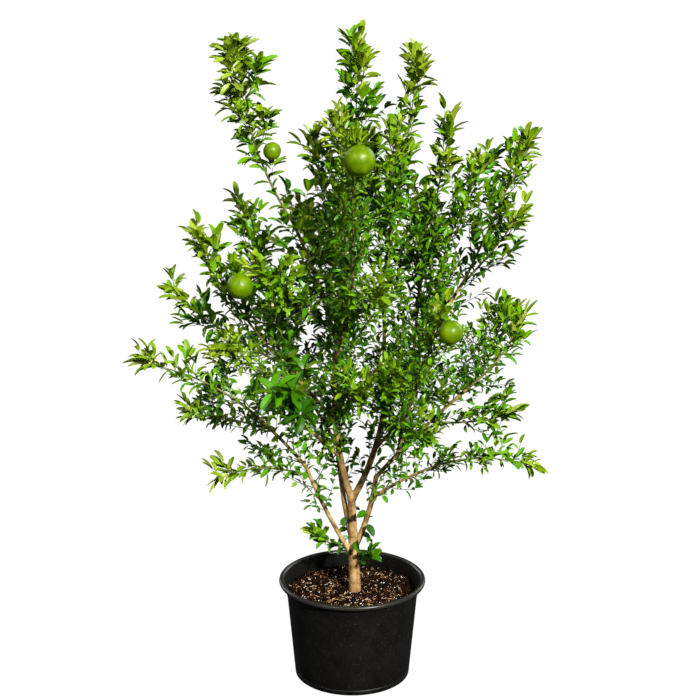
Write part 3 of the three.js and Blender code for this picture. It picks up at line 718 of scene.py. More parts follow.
def ring_faces(rings, sides, is_closed=True):
    """Triangles between rings of corners, and a fan on each end where it is closed."""
    faces = []
    for ring in range(rings - 1):
        for side in range(sides):
            a = ring * sides + side
            b = ring * sides + (side + 1) % sides
            c = b + sides
            d = a + sides
            faces += [(a, b, c), (a, c, d)]
    if is_closed:
        foot = rings * sides
        tip = foot + 1
        last = (rings - 1) * sides
        for side in range(sides):
            after = (side + 1) % sides
            faces += [(foot, after, side), (tip, last + side, last + after)]
    return np.array(faces)


def tube(points, radii, sides):
    """A round bar with rounded-off radii along a run of points, closed at both ends."""
    tangents = np.gradient(points, axis=0)
    tangents /= np.linalg.norm(tangents, axis=1)[:, None]
    across = np.cross(UP, tangents)
    across /= np.linalg.norm(across, axis=1)[:, None]
    over = np.cross(tangents, across)
    angles = np.linspace(0, 2 * math.pi, sides, endpoint=False)
    ring = np.cos(angles)[None, :, None] * across[:, None] + np.sin(angles)[None, :, None] * over[:, None]
    corners = points[:, None] + ring * np.asarray(radii)[:, None, None]
    ends = np.stack([points[0], points[-1]])
    return np.concatenate([corners.reshape(-1, 3), ends]), ring_faces(len(points), sides)


# Arcs: where a limb runs, and the directions along and across it
def arc_frame(arc, share):
    heading = math.radians(arc.heading + arc.turn * share)
    rise = math.radians(arc.rise + arc.bend * share)
    along = np.array([math.cos(rise) * math.cos(heading), math.cos(rise) * math.sin(heading),
                      math.sin(rise)])
    side = np.array([-math.sin(heading), math.cos(heading), 0.0])
    return along, side, np.cross(along, side)


def arc_points(arc, foot):
    points = [np.asarray(foot, dtype=float)]
    for i in range(ARC_STEPS):
        along, _, _ = arc_frame(arc, (i + 0.5) / ARC_STEPS)
        points.append(points[-1] + along * arc.length / ARC_STEPS)
    return np.array(points)


def point_at(points, share):
    place = min(share, 1.0) * (len(points) - 1)
    step = min(int(place), len(points) - 2)
    return mix(points[step], points[step + 1], place - step)


def shoot_direction(axes, around, spread, lift):
    along, side, over = axes
    direction = along * math.cos(spread)
    direction = direction + side * math.sin(spread) * math.cos(around)
    direction = direction + over * math.sin(spread) * math.sin(around)
    return unit(direction + UP * lift)


def aim_of(direction):
    heading = math.degrees(math.atan2(direction[1], direction[0]))
    rise = math.degrees(math.asin(direction[2]))
    return heading, rise


def lay_out_tree():
    """Gives every limb and stem its points, in the order that they grow."""
    TRUNK.points = arc_points(TRUNK, TRUNK_FOOT)
    placed = {TRUNK.name: TRUNK}
    for arc in BOUGHS + MASSES:
        arc.points = arc_points(arc, point_at(placed[arc.on].points, arc.at))
        placed[arc.name] = arc
    for mass in MASSES:
        if mass.fruit:
            foot = point_at(mass.points, mass.fruit["at"])
            mass.fruit["foot"] = foot
            mass.fruit["middle"] = foot + np.array(mass.fruit["offset"], dtype=float)
    return placed


# Spaces: a point belongs to the mass whose stem is nearest, clear of limbs and fruit
def distances(points, paths):
    """The distance of each point to each path, a block of points at a time."""
    starts = paths[:, :-1]
    runs = paths[:, 1:] - starts
    squares = (runs ** 2).sum(axis=2)
    found = []
    for block in np.array_split(points, max(1, len(points) // POINTS_AT_A_TIME)):
        gaps = block[:, None, None, :] - starts[None]
        shares = np.clip((gaps * runs).sum(axis=3) / squares, 0, 1)
        gaps = gaps - shares[..., None] * runs
        found.append(np.sqrt((gaps ** 2).sum(axis=3)).min(axis=2))
    return np.concatenate(found)


class Space:
    """The room that each mass's foliage may fill."""

    def __init__(self):
        self.stems = np.array([mass.points for mass in MASSES])
        limbs = [TRUNK] + BOUGHS
        self.limbs = np.array([limb.points for limb in limbs])
        self.limb_radii = np.array([limb.radii[0] for limb in limbs])
        self.fruits = [mass.fruit for mass in MASSES if mass.fruit]

    def is_free(self, points, owners):
        """Whether each point is free; owners holds the number of each one's mass, or ON_BOUGH."""
        points = np.asarray(points)
        owners = np.asarray(owners)
        free = points[:, 2] > POT_HEIGHT + LIMB_MARGIN
        free &= (distances(points, self.limbs) > self.limb_radii + LIMB_MARGIN).all(axis=1)
        to_stems = distances(points, self.stems)
        own = to_stems[np.arange(len(points)), np.maximum(owners, 0)]
        free &= (owners < 0) | (own < to_stems.min(axis=1) + SPACE_OVERLAP)
        for fruit in self.fruits:
            gap = points - fruit["middle"]
            clear = fruit["radius"] + FRUIT_MARGIN
            free &= np.linalg.norm(gap, axis=1) > clear
            is_before = (gap[:, 1] < 0) & (gap[:, 1] > -FRUIT_WINDOW)
            off_sight = np.hypot(gap[:, 0], gap[:, 2] + SIGHT_SLOPE * gap[:, 1])
            free &= ~(is_before & (off_sight < clear))
        return free


# Growth of twigs and leaves
class Growth:
    """What grows: the stems, the twigs, and the leaves that still look for their place."""

    def __init__(self, space):
        self.space = space
        self.stems = []
        self.twigs = []
        self.leaves = []
        self.tips = []

    def add_leaf(self, root, axes, around, spread, lift, length, width, tint, owner, draw):
        roll = mix(-LEAF_ROLL, LEAF_ROLL, next(draw))
        bend = mix(*LEAF_BEND, next(draw))
        fold = mix(*LEAF_FOLD, next(draw))
        lift += LEVEL_LEAF_LIFT * (1 - abs(axes[0][2]))
        # These are the columns that Leaves reads, in its order
        self.leaves.append((*root, *axes[0], *axes[1], *axes[2], around, spread, lift, length,
                            length * width, roll, bend, fold, tint, owner))


def tint_at(mass, share, draw):
    """How young a spray looks, from 0 deep in the crown to 7 at a stem's tip; the dark tints deep in the
    crown are partly painted shade, and the pale ones at the tips partly painted light.
    """
    level = mix(*TINT_RANGE, share ** TINT_CURVE) + mix(-TINT_VARIATION, TINT_VARIATION, next(draw))
    return int(min(max(round(level + mass.tint), 0), mass.ripest))


def leaf_length_at(mass, share, draw):
    return mass.leaf * mix(*LEAF_SIZE_ALONG, share) * mix(*LEAF_VARIATION, next(draw))


def grow_twig(growth, foot, direction, length, leaf, width, tint, owner, draw, whorl=2, is_branched=True):
    """A twig with leaves wound round it and smaller twigs of its own, where it finds room."""
    heading, rise = aim_of(direction)
    bend = min(mix(*TWIG_BEND, next(draw)), STEEPEST_TWIG - rise)
    for shortening in TWIG_SHORTENINGS:
        twig = Arc("twig", heading=heading, rise=rise, length=length * shortening, bend=bend)
        if twig.length < SHORTEST_TWIG:
            return
        twig.points = arc_points(twig, foot)
        outer = twig.points[OUTER_POINTS]
        if growth.space.is_free(outer, [owner] * len(outer)).all():
            break
    else:
        return
    radius = TWIG_RADIUS + TWIG_RADIUS_BY_LENGTH * twig.length
    growth.twigs.append((twig.points[TWIG_MESH_POINTS], (radius, TWIG_RADIUS)))
    start = next(draw) * 360
    place = FIRST_TWIG_NODE
    for number in count():
        if place > twig.length - BARE_TWIG_END:
            break
        share = place / twig.length
        spread = mix(*TWIG_LEAF_SPREAD, share)
        growth.add_leaf(point_at(twig.points, share), arc_frame(twig, share),
                        start + GOLDEN_ANGLE * number, spread, TWIG_LEAF_LIFT,
                        leaf * mix(*LEAF_VARIATION, next(draw)), width, tint, owner, draw)
        place += TWIG_NODE_SHARE * leaf * mix(*TWIG_NODE_VARIATION, next(draw))
    for number in range(whorl):
        if whorl > len(PAIR_SPREAD):
            spread = mix(*WHORL_SPREAD, next(draw)) * mix(1, UPRIGHT_WHORL, abs(direction[2]))
        else:
            spread = PAIR_SPREAD[number]
        growth.add_leaf(twig.points[-1], arc_frame(twig, 1), start + 360 * number / whorl, spread, WHORL_LIFT,
                        leaf * mix(*WHORL_VARIATION, next(draw)), width, tint, owner, draw)
    growth.tips.append((twig.points[-1], tint))
    if is_branched and whorl < LARGE_WHORL and twig.length > SUBTWIG_FROM:
        for number, share in enumerate(SUBTWIG_SHARES):
            around = math.radians(start + SUBTWIG_START + GOLDEN_ANGLE * number)
            aim = shoot_direction(arc_frame(twig, share), around, math.radians(SUBTWIG_SPREAD), TWIG_LIFT)
            grow_twig(growth, point_at(twig.points, share), aim,
                      twig.length * mix(*SUBTWIG_LENGTH, next(draw)), leaf * SUBTWIG_LEAF, width, tint,
                      owner, draw, whorl, is_branched=False)


def grow_mass(growth, mass, index):
    """Shoots wind round the stem by the golden angle: twigs where the reach is wide, leaves elsewhere."""
    draw = draws_from(index + 1)
    tip_leaf = TIP_LEAF * mass.leaf * LEAF_SIZE_ALONG[1]
    last = mass.length - TIP_LEAF_ROOM * tip_leaf
    growth.stems.append((mass, last / mass.length))
    place = FIRST_NODE * mass.length
    for number in count():
        if place > last:
            break
        share = place / mass.length
        axes = arc_frame(mass, share)
        foot = point_at(mass.points, share)
        around = GOLDEN_ANGLE * (number + index) + mix(-NODE_JITTER, NODE_JITTER, next(draw))
        leaf = leaf_length_at(mass, share, draw)
        tint = tint_at(mass, share, draw)
        if number % TWIG_EVERY == 0 and share >= mass.twigs_from:
            reach = mix(*mass.reach, share) * TWIG_REACH * mix(*TWIG_VARIATION, next(draw))
            length = min(reach - TWIG_LEAF_ROOM * leaf, SPIRE_TAPER * (mass.length - place))
            spread = mix(SPREAD_AT_FOOT, SPREAD_AT_TIP, share) + mass.bushiness
            spread += mix(-TWIG_SPREAD_JITTER, TWIG_SPREAD_JITTER, next(draw))
            lift = TWIG_LIFT + LEVEL_TWIG_LIFT * (1 - abs(axes[0][2]))
            aim = shoot_direction(axes, math.radians(around), math.radians(spread), lift)
            grow_twig(growth, foot, aim, length, leaf, mass.width, tint, index, draw, mass.whorl)
        spread = mix(*LEAF_SPREAD, share)
        growth.add_leaf(foot, axes, around, spread, LEAF_LIFT, leaf, mass.width, tint, index, draw)
        place += mix(*NODE_SPACING, share) * max(mass.leaf / USUAL_LEAF, CLOSEST_NODES)
    for number in range(TIP_FAN):
        spread = mix(*TIP_FAN_SPREAD, (number + 1) / TIP_FAN)
        top = point_at(mass.points, (last - TIP_FAN_STEP * (TIP_FAN - number)) / mass.length)
        growth.add_leaf(top, arc_frame(mass, 1), GOLDEN_ANGLE * number, spread, TIP_FAN_LIFT,
                        TIP_LEAF * leaf_length_at(mass, 1, draw), mass.width, tint_at(mass, 1, draw), index,
                        draw)
    growth.tips.append((top, mass.ripest))


def grow_spurs(growth, bough, index):
    """Short leafy spurs on the part of a bough that runs through the crown."""
    draw = draws_from(len(MASSES) + index + 1)
    place = SPUR_SPACING
    for number in count():
        if place > bough.length:
            break
        share = place / bough.length
        foot = point_at(bough.points, share)
        around = GOLDEN_ANGLE * (number + index)
        axes = arc_frame(bough, share)
        aim = shoot_direction(axes, math.radians(around), math.radians(SPREAD_AT_FOOT), TWIG_LIFT)
        length = mix(*bough.spurs, next(draw))
        is_low = foot[2] < SPUR_LOWEST
        tint = int(next(draw) * (LONE_TINTS if is_low else SPUR_TINTS) + bough.tint)
        if foot[2] > bough.leafy and is_low:
            growth.add_leaf(foot, axes, around, LEAF_SPREAD[0], LONE_LIFT, LONE_LEAF, LONE_WIDTH, tint,
                            ON_BOUGH, draw)
        elif foot[2] > bough.leafy:
            grow_twig(growth, foot, aim, length, SPUR_LEAF_SHARE * bough.leaf, SPUR_LEAF_WIDTH, tint,
                      ON_BOUGH, draw, is_branched=False)
        place += SPUR_SPACING * mix(*SPUR_VARIATION, next(draw)) * (LONE_SPACING if is_low else 1)


class Leaves:
    """Every leaf as columns of numbers, once it has found its place."""

    def __init__(self, rows):
        table = np.array(rows)
        self.root = table[:, 0:3]
        self.axes = table[:, 3:6], table[:, 6:9], table[:, 9:12]
        self.around, self.spread = np.radians(table[:, 12:14]).T
        self.lift = table[:, 14]
        self.length, self.width = table[:, 15], table[:, 16]
        self.roll, self.bend, self.fold = np.radians(table[:, 17:20]).T
        self.tint, self.owner = table[:, 20].astype(int), table[:, 21].astype(int)
        self.is_placed = np.zeros(len(table), dtype=bool)
        self.direction = np.zeros((len(table), 3))
        self.across = np.zeros((len(table), 3))
        self.over = np.zeros((len(table), 3))

    def aim(self, turns):
        """Points every unplaced leaf: turns is how often it has tried before."""
        rows = ~self.is_placed
        around = self.around[rows] + turns * math.radians(GOLDEN_ANGLE)
        spread = self.spread[rows]
        along, side, over = (axis[rows] for axis in self.axes)
        direction = along * np.cos(spread)[:, None]
        direction += side * (np.sin(spread) * np.cos(around))[:, None]
        direction += over * (np.sin(spread) * np.sin(around))[:, None]
        direction[:, 2] += self.lift[rows]
        direction /= np.linalg.norm(direction, axis=1)[:, None]
        level = np.cross(UP, direction)
        level /= np.linalg.norm(level, axis=1)[:, None]
        facing = np.cross(direction, level)
        roll = self.roll[rows][:, None]
        across = level * np.cos(roll) + facing * np.sin(roll)
        self.direction[rows] = direction
        self.across[rows] = across
        self.over[rows] = np.cross(direction, across)

    def settle(self, space):
        """Each leaf takes the first of a few directions that is free, a little smaller each time."""
        for turns in range(LEAF_TRIES):
            self.aim(turns)
            rows = np.flatnonzero(~self.is_placed)
            root, length = self.root[rows], self.length[rows][:, None]
            middle = root + self.direction[rows] * length * LEAF_WIDEST
            half = self.across[rows] * self.width[rows][:, None] / 2
            samples = [middle - half, middle + half, root + self.direction[rows] * length]
            free = np.ones(len(rows), dtype=bool)
            for points in samples:
                free &= space.is_free(points, self.owner[rows])
            self.is_placed[rows[free]] = True
            self.length[rows[~free]] *= 1 - LEAF_SHRINK

    def blades(self, rows):
        """Corners and triangles of closed, folded, arched blades, and which triangles face down."""
        bend = self.bend[rows][:, None]
        length = self.length[rows][:, None]
        shares = np.concatenate([[0.0], LEAF_STATIONS, [1.0]])[None]
        angle = -bend * shares
        steps = np.diff(shares, axis=1) * length
        middle = (angle[:, 1:] + angle[:, :-1]) / 2
        start = np.zeros((len(length), 1))
        forward = np.concatenate([start, np.cumsum(steps * np.cos(middle), axis=1)], axis=1)
        upward = np.concatenate([start, np.cumsum(steps * np.sin(middle), axis=1)], axis=1)
        direction, across, over = (v[rows][:, None] for v in (self.direction, self.across, self.over))
        spine = self.root[rows][:, None] + direction * forward[..., None] + over * upward[..., None]
        inner = angle[:, 1:-1, None]
        normal = over * np.cos(inner) - direction * np.sin(inner)
        half = (self.width[rows][:, None] / 2 * LEAF_HALF_WIDTHS)[..., None]
        fold = self.fold[rows][:, None, None]
        edge = across * half * np.cos(fold)
        lifted = spine[:, 1:-1] + normal * half * np.sin(fold)
        thick = normal * length[..., None] * LEAF_THICKNESS / 2
        corners = np.concatenate([
            spine[:, :1], spine[:, -1:], lifted - edge, lifted + edge,
            spine[:, 1:-1] + thick, spine[:, 1:-1] - thick], axis=1)
        faces, is_under = blade_faces(len(LEAF_STATIONS))
        offsets = np.arange(len(corners)) * corners.shape[1]
        return (corners.reshape(-1, 3), (faces[None] + offsets[:, None, None]).reshape(-1, 3),
                np.tile(is_under, len(corners)))


def blade_faces(stations):
    """Triangles of one blade; its corners are root, tip, then right, left, upper and lower rows."""
    root, tip = 0, 1
    right, left, upper, lower = (2 + stations * row + np.arange(stations) for row in range(4))
    top = [(root, right[0], upper[0]), (root, upper[0], left[0])]
    for k in range(stations - 1):
        top += [(right[k], right[k + 1], upper[k + 1]), (right[k], upper[k + 1], upper[k])]
        top += [(upper[k], upper[k + 1], left[k + 1]), (upper[k], left[k + 1], left[k])]
    top += [(right[-1], tip, upper[-1]), (upper[-1], tip, left[-1])]
    top = np.array(top)
    under = top[:, ::-1].copy()
    for high, low in zip(upper, lower):
        under[under == high] = low
    is_under = np.repeat([0, 1], len(top))
    return np.concatenate([top, under]), is_under


# Pieces: pot and potting mix
def wall_radius(height):
    return mix(POT_BASE_RADIUS, POT_TOP_RADIUS, height / WALL_TOP)


def round_stretch(middle, radii, start, end, steps):
    """Points on a round stretch of an outline, from one angle to another in degrees."""
    points = []
    for step in range(steps + 1):
        angle = math.radians(mix(start, end, step / steps))
        points.append((middle[0] + radii[0] * math.cos(angle), middle[1] + radii[1] * math.sin(angle)))
    return points


def pot_profile():
    """The pot's section: underside, heel, wall, stacking ledge, rolled rim, and down the inside."""
    foot = POT_BASE_RADIUS - BASE_RING_WIDTH
    profile = [(0, HUB_RISE), (HUB_RADIUS, HUB_RISE), (HUB_RADIUS + BASE_STEP, BASE_RISE),
               (foot - BASE_STEP, BASE_RISE), (foot, 0)]
    profile += round_stretch((wall_radius(BASE_ROUND) - BASE_ROUND, BASE_ROUND), (BASE_ROUND, BASE_ROUND),
                             *BASE_ARC)
    heel_top = HEEL_HEIGHT + HEEL_GROOVE
    for height, drop in ((HEEL_HEIGHT - 1, 0), (HEEL_HEIGHT, HEEL_WIDTH), (heel_top, HEEL_WIDTH),
                         (heel_top + 1, EASED_EDGE)):
        profile.append((wall_radius(height) - drop, height))
    for height in (*WALL_RINGS, LEDGE_HEIGHT - LEDGE_EASE):
        profile.append((wall_radius(height) - LEDGE_WIDTH * height / LEDGE_HEIGHT, height))
    ledge = wall_radius(LEDGE_HEIGHT)
    profile += [(ledge - LEDGE_WIDTH, LEDGE_HEIGHT),
                (ledge - EASED_EDGE, LEDGE_HEIGHT + EASED_EDGE_HEIGHT), (ledge, LEDGE_HEIGHT + LEDGE_EASE),
                (POT_TOP_RADIUS, WALL_TOP), (POT_TOP_RADIUS + RIM_FLARE[0], WALL_TOP + RIM_FLARE[1])]
    # The rim turns over as a hollow roll, open beneath
    roll = (RIM_RADIUS - RIM_ROLL, POT_HEIGHT - RIM_ROLL)
    lip = RIM_ROLL - POT_WALL
    profile += round_stretch(roll, (lip, lip), *RIM_LIP_ARC)
    profile += round_stretch(roll, (RIM_ROLL, RIM_ROLL), *RIM_ARC)
    profile += [(POT_TOP_RADIUS - POT_WALL, WALL_TOP), (ledge - LEDGE_WIDTH - POT_WALL, LEDGE_HEIGHT),
                (wall_radius(POT_FLOOR) - POT_INSIDE, POT_FLOOR), (0, POT_FLOOR)]
    return profile


def lathe(profile, segments):
    """A closed turned shape; the first and last points of its profile lie on the axis."""
    inner = np.array(profile[1:-1])
    angles = np.linspace(0, 2 * math.pi, segments, endpoint=False)
    rings = np.stack([inner[:, 0, None] * np.cos(angles), inner[:, 0, None] * np.sin(angles),
                      np.repeat(inner[:, 1, None], segments, axis=1)], axis=-1)
    ends = np.array([(0, 0, profile[0][1]), (0, 0, profile[-1][1])])
    faces = ring_faces(len(inner), segments)
    return np.concatenate([rings.reshape(-1, 3), ends]), faces


def notch_cutter():
    """Drain notches: arch-topped blocks round the pot's foot."""
    shape = Shape()
    half = NOTCH_WIDTH / 2
    arch = round_stretch((0, NOTCH_HEIGHT - NOTCH_ARCH), (half, NOTCH_ARCH), *NOTCH_ARC)
    outline = np.array([(-half, NOTCH_SILL), (half, NOTCH_SILL), *arch])
    for number in range(NOTCH_COUNT):
        turn = math.radians(NOTCH_START + 360 * number / NOTCH_COUNT)
        out = np.array([math.cos(turn), math.sin(turn), 0])
        side = np.array([-math.sin(turn), math.cos(turn), 0])
        rings = []
        for radius in (POT_BASE_RADIUS - NOTCH_DEPTH / 2, POT_BASE_RADIUS + NOTCH_DEPTH / 2):
            rings.append(out * radius + side * outline[:, :1] + UP * outline[:, 1:])
        middles = [ring.mean(axis=0) for ring in rings]
        shape.add(np.concatenate([*rings, middles]), ring_faces(2, len(outline)))
    return shape


def flip_if_inside_out(piece):
    mesh = bmesh.new()
    mesh.from_mesh(piece.data)
    bmesh.ops.remove_doubles(mesh, verts=mesh.verts, dist=1e-7)
    bmesh.ops.recalc_face_normals(mesh, faces=mesh.faces)
    mesh.to_mesh(piece.data)
    mesh.free()


def build_pot(settings):
    # Each finish: its name, its colour, its roughness and its specular level. The rim's colour is lighter
    # than the wall's as a painted sheen on the same plastic
    finishes = [("satin moulded polypropylene", settings.colour, 0.46, 0.32),
                ("handled polypropylene rim", settings.rim_sheen_colour, 0.33, 0.32),
                ("soiled polypropylene inside", settings.colour, 0.75, 0.08)]
    materials = [moulded_polypropylene(name, colour, settings.dust_colour, roughness, specular)
                 for name, colour, roughness, specular in finishes]
    corners, faces = lathe(pot_profile(), POT_SEGMENTS)
    pot = mesh_object("pot_body", corners * MM, faces, materials)
    flip_if_inside_out(pot)
    cutter = notch_cutter().to_object("notch_cutter", [])
    flip_if_inside_out(cutter)
    cut = pot.modifiers.new("drain notches", "BOOLEAN")
    cut.object = cutter
    cut.solver = "EXACT"
    pot = evaluated_mesh(pot, "nursery_pot")
    bpy.data.objects.remove(cutter, do_unlink=True)
    mesh = pot.data
    heights = np.array([face.center.z for face in mesh.polygons])
    radii = np.array([math.hypot(face.center.x, face.center.y) for face in mesh.polygons])
    faces_in = np.array([face.normal.xy.dot(face.center.xy) < 0 for face in mesh.polygons])
    is_rim = (heights > (RIM_SEAT - 1) * MM) & (radii > (POT_TOP_RADIUS - 1) * MM)
    is_inside = faces_in & (heights > LEDGE_HEIGHT * MM) & (heights < (POT_HEIGHT - RIM_ROLL) * MM)
    slots = np.where(is_inside, 2, is_rim)
    mesh.polygons.foreach_set("material_index", slots.astype(np.int32))
    smooth_below(mesh, POT_SMOOTH_ANGLE)
    declare(pot, ["pot"])


def mix_height_at(x, y):
    """The top of the potting mix: lumpy, a little mounded round the trunk, lower at the wall."""
    place = Vector((x / MIX_LUMP_SIZE, y / MIX_LUMP_SIZE, MIX_LUMP_SLICE))
    lump = sum(height * noise.noise(place * scale) for scale, height in MIX_OCTAVES)
    from_trunk = math.hypot(x - TRUNK_FOOT[0], y - TRUNK_FOOT[1])
    mound = MIX_MOUND * math.exp(-((from_trunk / MIX_MOUND_RADIUS) ** 2))
    return MIX_HEIGHT - MIX_SINK + MIX_LUMP * lump + mound


def mix_rings(radii):
    """Rings of points on top of the mix, for each radius from the wall to the middle."""
    angles = np.linspace(0, 2 * math.pi, MIX_SEGMENTS, endpoint=False)
    rings = []
    for radius in radii:
        ring = [(radius * math.cos(a), radius * math.sin(a)) for a in angles]
        rings.append([(x, y, mix_height_at(x, y)) for x, y in ring])
    return rings


def mix_shape():
    """The mix as one closed body: a lumpy top, and sides that follow the pot's inner wall."""
    edge = wall_radius(MIX_HEIGHT) - MIX_GAP
    low_edge = wall_radius(MIX_FLOOR) - MIX_GAP
    angles = np.linspace(0, 2 * math.pi, MIX_SEGMENTS, endpoint=False)
    foot = [(low_edge * math.cos(a), low_edge * math.sin(a), MIX_FLOOR) for a in angles]
    rings = [foot, *mix_rings(np.linspace(edge, MIX_MIDDLE, MIX_RINGS))]
    ends = [(0, 0, MIX_FLOOR), (0, 0, mix_height_at(0, 0))]
    points = np.concatenate([np.array(rings).reshape(-1, 3), ends])
    return points, ring_faces(len(rings), MIX_SEGMENTS)


def scatter_group(name, add_shape):
    """A Geometry Nodes tree that strews one small shape over a surface, each bent by noise."""
    tree = bpy.data.node_groups.new(name, "GeometryNodeTree")
    ports = {"Geometry": "Geometry", "Density": "Float", "Seed": "Int", "Smallest": "Vector",
             "Largest": "Vector", "Bend": "Float", "Bend Scale": "Float", "Material": "Material"}
    for title, kind in ports.items():
        tree.interface.new_socket(title, in_out="INPUT", socket_type=f"NodeSocket{kind}")
    tree.interface.new_socket("Geometry", in_out="OUTPUT", socket_type="NodeSocketGeometry")
    given = add_node(tree, "NodeGroupInput").outputs
    spots = add_node(tree, "GeometryNodeDistributePointsOnFaces", links={
        "Mesh": given["Geometry"], "Density": given["Density"], "Seed": given["Seed"]})
    turn = add_node(tree, "FunctionNodeRandomValue",
                    {0: (-STREWN_TILT, -STREWN_TILT, 0.0), 1: (STREWN_TILT, STREWN_TILT, STREWN_TURN)},
                    {"Seed": given["Seed"]}, data_type="FLOAT_VECTOR")
    size = add_node(tree, "FunctionNodeRandomValue", links={
        0: given["Smallest"], 1: given["Largest"], "Seed": given["Seed"]}, data_type="FLOAT_VECTOR")
    strewn = add_node(tree, "GeometryNodeInstanceOnPoints", links={
        "Points": spots.outputs["Points"], "Instance": add_shape(tree),
        "Rotation": turn.outputs["Value"], "Scale": size.outputs["Value"]})
    real = add_node(tree, "GeometryNodeRealizeInstances", links={"Geometry": strewn.outputs["Instances"]})
    rough = add_node(tree, "ShaderNodeTexNoise", {"Detail": 2.0}, {"Scale": given["Bend Scale"]})
    centred = add_node(tree, "ShaderNodeVectorMath", {1: (0.5, 0.5, 0.5)}, {0: rough.outputs["Color"]},
                       operation="SUBTRACT")
    push = add_node(tree, "ShaderNodeVectorMath", links={
        0: centred.outputs["Vector"], "Scale": given["Bend"]}, operation="SCALE")
    bent = add_node(tree, "GeometryNodeSetPosition", links={
        "Geometry": real.outputs["Geometry"], "Offset": push.outputs["Vector"]})
    painted = add_node(tree, "GeometryNodeSetMaterial", links={
        "Geometry": bent.outputs["Geometry"], "Material": given["Material"]})
    add_node(tree, "NodeGroupOutput", links={"Geometry": painted.outputs["Geometry"]})
    return tree


def chip_block(tree):
    size = tuple(side * MM for side in CHIP_SIZE)
    block = add_node(tree, "GeometryNodeMeshCube", {"Size": size, "Vertices X": 4, "Vertices Y": 3})
    return block.outputs["Mesh"]


def curled_fibre(tree):
    """A thin fibre of shredded bark, bent round most of a half turn."""
    run = add_node(tree, "GeometryNodeCurveArc",
                   {"Resolution": 9, "Radius": FIBRE_CURL * MM, "Sweep Angle": FIBRE_SWEEP})
    section = add_node(tree, "GeometryNodeCurvePrimitiveCircle",
                       {"Resolution": 4, "Radius": FIBRE_RADIUS * MM})
    return add_node(tree, "GeometryNodeCurveToMesh", {"Fill Caps": True}, {
        "Curve": run.outputs["Curve"], "Profile Curve": section.outputs["Curve"]}).outputs["Mesh"]


def grit_bead(tree):
    bead = add_node(tree, "GeometryNodeMeshIcoSphere", {"Radius": GRIT_RADIUS * MM, "Subdivisions": 2})
    return bead.outputs["Mesh"]


def strew(name, tree, surface, inputs):
    """Runs a scatter tree over the mix's top and keeps what it makes as a plain mesh."""
    carrier = bpy.data.objects.new(name, surface.copy())
    bpy.context.scene.collection.objects.link(carrier)
    modifier = carrier.modifiers.new("strewn", "NODES")
    modifier.node_group = tree
    for item in tree.interface.items_tree:
        if item.in_out == "INPUT" and item.name in inputs:
            modifier[item.identifier] = inputs[item.name]
    piece = evaluated_mesh(carrier, name)
    smooth_below(piece.data, STREWN_SMOOTH_ANGLE)
    declare(piece, ["potting_mix"])


def mix_surface():
    """The open top of the mix, inside the wall and round the trunk's foot, for strewing over."""
    edge = wall_radius(MIX_HEIGHT) - MIX_GAP - STREWN_FROM_WALL
    rings = mix_rings(np.linspace(edge, STREWN_MIDDLE, STREWN_RINGS))
    points = np.array(rings).reshape(-1, 3)
    faces = ring_faces(len(rings), MIX_SEGMENTS, is_closed=False)
    middles = points[faces].mean(axis=1)
    from_trunk = np.hypot(middles[:, 0] - TRUNK_FOOT[0], middles[:, 1] - TRUNK_FOOT[1])
    surface = mesh_object("mix_top", points * MM, faces[from_trunk > STREWN_FROM_TRUNK], [])
    mesh = surface.data
    bpy.data.objects.remove(surface, do_unlink=True)
    return mesh


def build_potting_mix(settings):
    # The bed's near-black colours are partly the wet mix's own and partly painted shade in the gaps between
    # the strewn chips
    ground = rotting_bark_mix("composted bark and peat", settings.dark_colour, settings.crumb_colour,
                              BED_CRUMB)
    points, faces = mix_shape()
    declare(mesh_object("potting_mix_bed", points * MM, faces, [ground]), ["potting_mix"])
    surface = mix_surface()
    # Each shape: its tree, its smallest and largest scale, how far noise bends it, and the noise's scale
    chip = (scatter_group("bark chips", chip_block), (0.4, 0.45, 0.4), (1.3, 1.2, 1.2), 0.0065, 130.0)
    fibre = (scatter_group("bark fibres", curled_fibre), (0.4, 0.35, 0.7), (1.5, 1.2, 1.5), 0.006, 90.0)
    grain = (scatter_group("perlite grains", grit_bead), (0.45, 0.45, 0.45), (1.3, 1.15, 1.05), 0.0019, 400.0)
    # Each kind: its shape, how many there are per square metre, its seed, its colours and its crumb size
    kinds = [("dark_bark_chips", chip, 13000, 3, settings.chip_dark_colour, settings.chip_colour, 7),
             ("brown_bark_chips", chip, 5200, 5, settings.chip_colour, settings.chip_light_colour, 8),
             ("bark_fibres", fibre, 8600, 8, settings.fibre_colour, settings.fibre_light_colour, 9),
             ("perlite_grains", grain, 3400, 13, settings.perlite_shade_colour, settings.perlite_colour, 4)]
    for name, (tree, smallest, largest, bend, bend_scale), density, seed, dark, light, crumb_size in kinds:
        material = rotting_bark_mix(name.replace("_", " "), dark, light, crumb_size)
        strew(name, tree, surface, {
            "Density": density * settings.fullness, "Seed": seed, "Smallest": smallest, "Largest": largest,
            "Bend": bend, "Bend Scale": bend_scale, "Material": material})


# Pieces: trunk and boughs
def limb_radius(limb, share):
    flare = limb.flare * math.exp(-share * limb.length / FLARE_HEIGHT)
    collar = COLLAR * math.exp(-share * limb.length / COLLAR_HEIGHT) if limb.on else 0.0
    return mix(*limb.radii, share) * (1 + collar) + flare + BARK_GROWN


def limb_tube(limb):
    rings = max(FEWEST_BARK_RINGS, int(limb.length / BARK_RING_STEP))
    shares = np.linspace(0, 1, rings)
    points = np.array([point_at(limb.points, share) for share in shares])
    radii = [limb_radius(limb, share) for share in shares]
    return tube(points, radii, BARK_SIDES)


def stub_tube(placed, limb_name, share, around, length):
    limb = placed[limb_name]
    aim = shoot_direction(arc_frame(limb, share), math.radians(around), math.radians(STUB_SPREAD), 0.0)
    foot = point_at(limb.points, share)
    reach = mix(*limb.radii, share) + length
    points = np.array([foot + aim * reach * step for step in STUB_STEPS])
    return tube(points, STUB_RADII, BARK_SIDES)


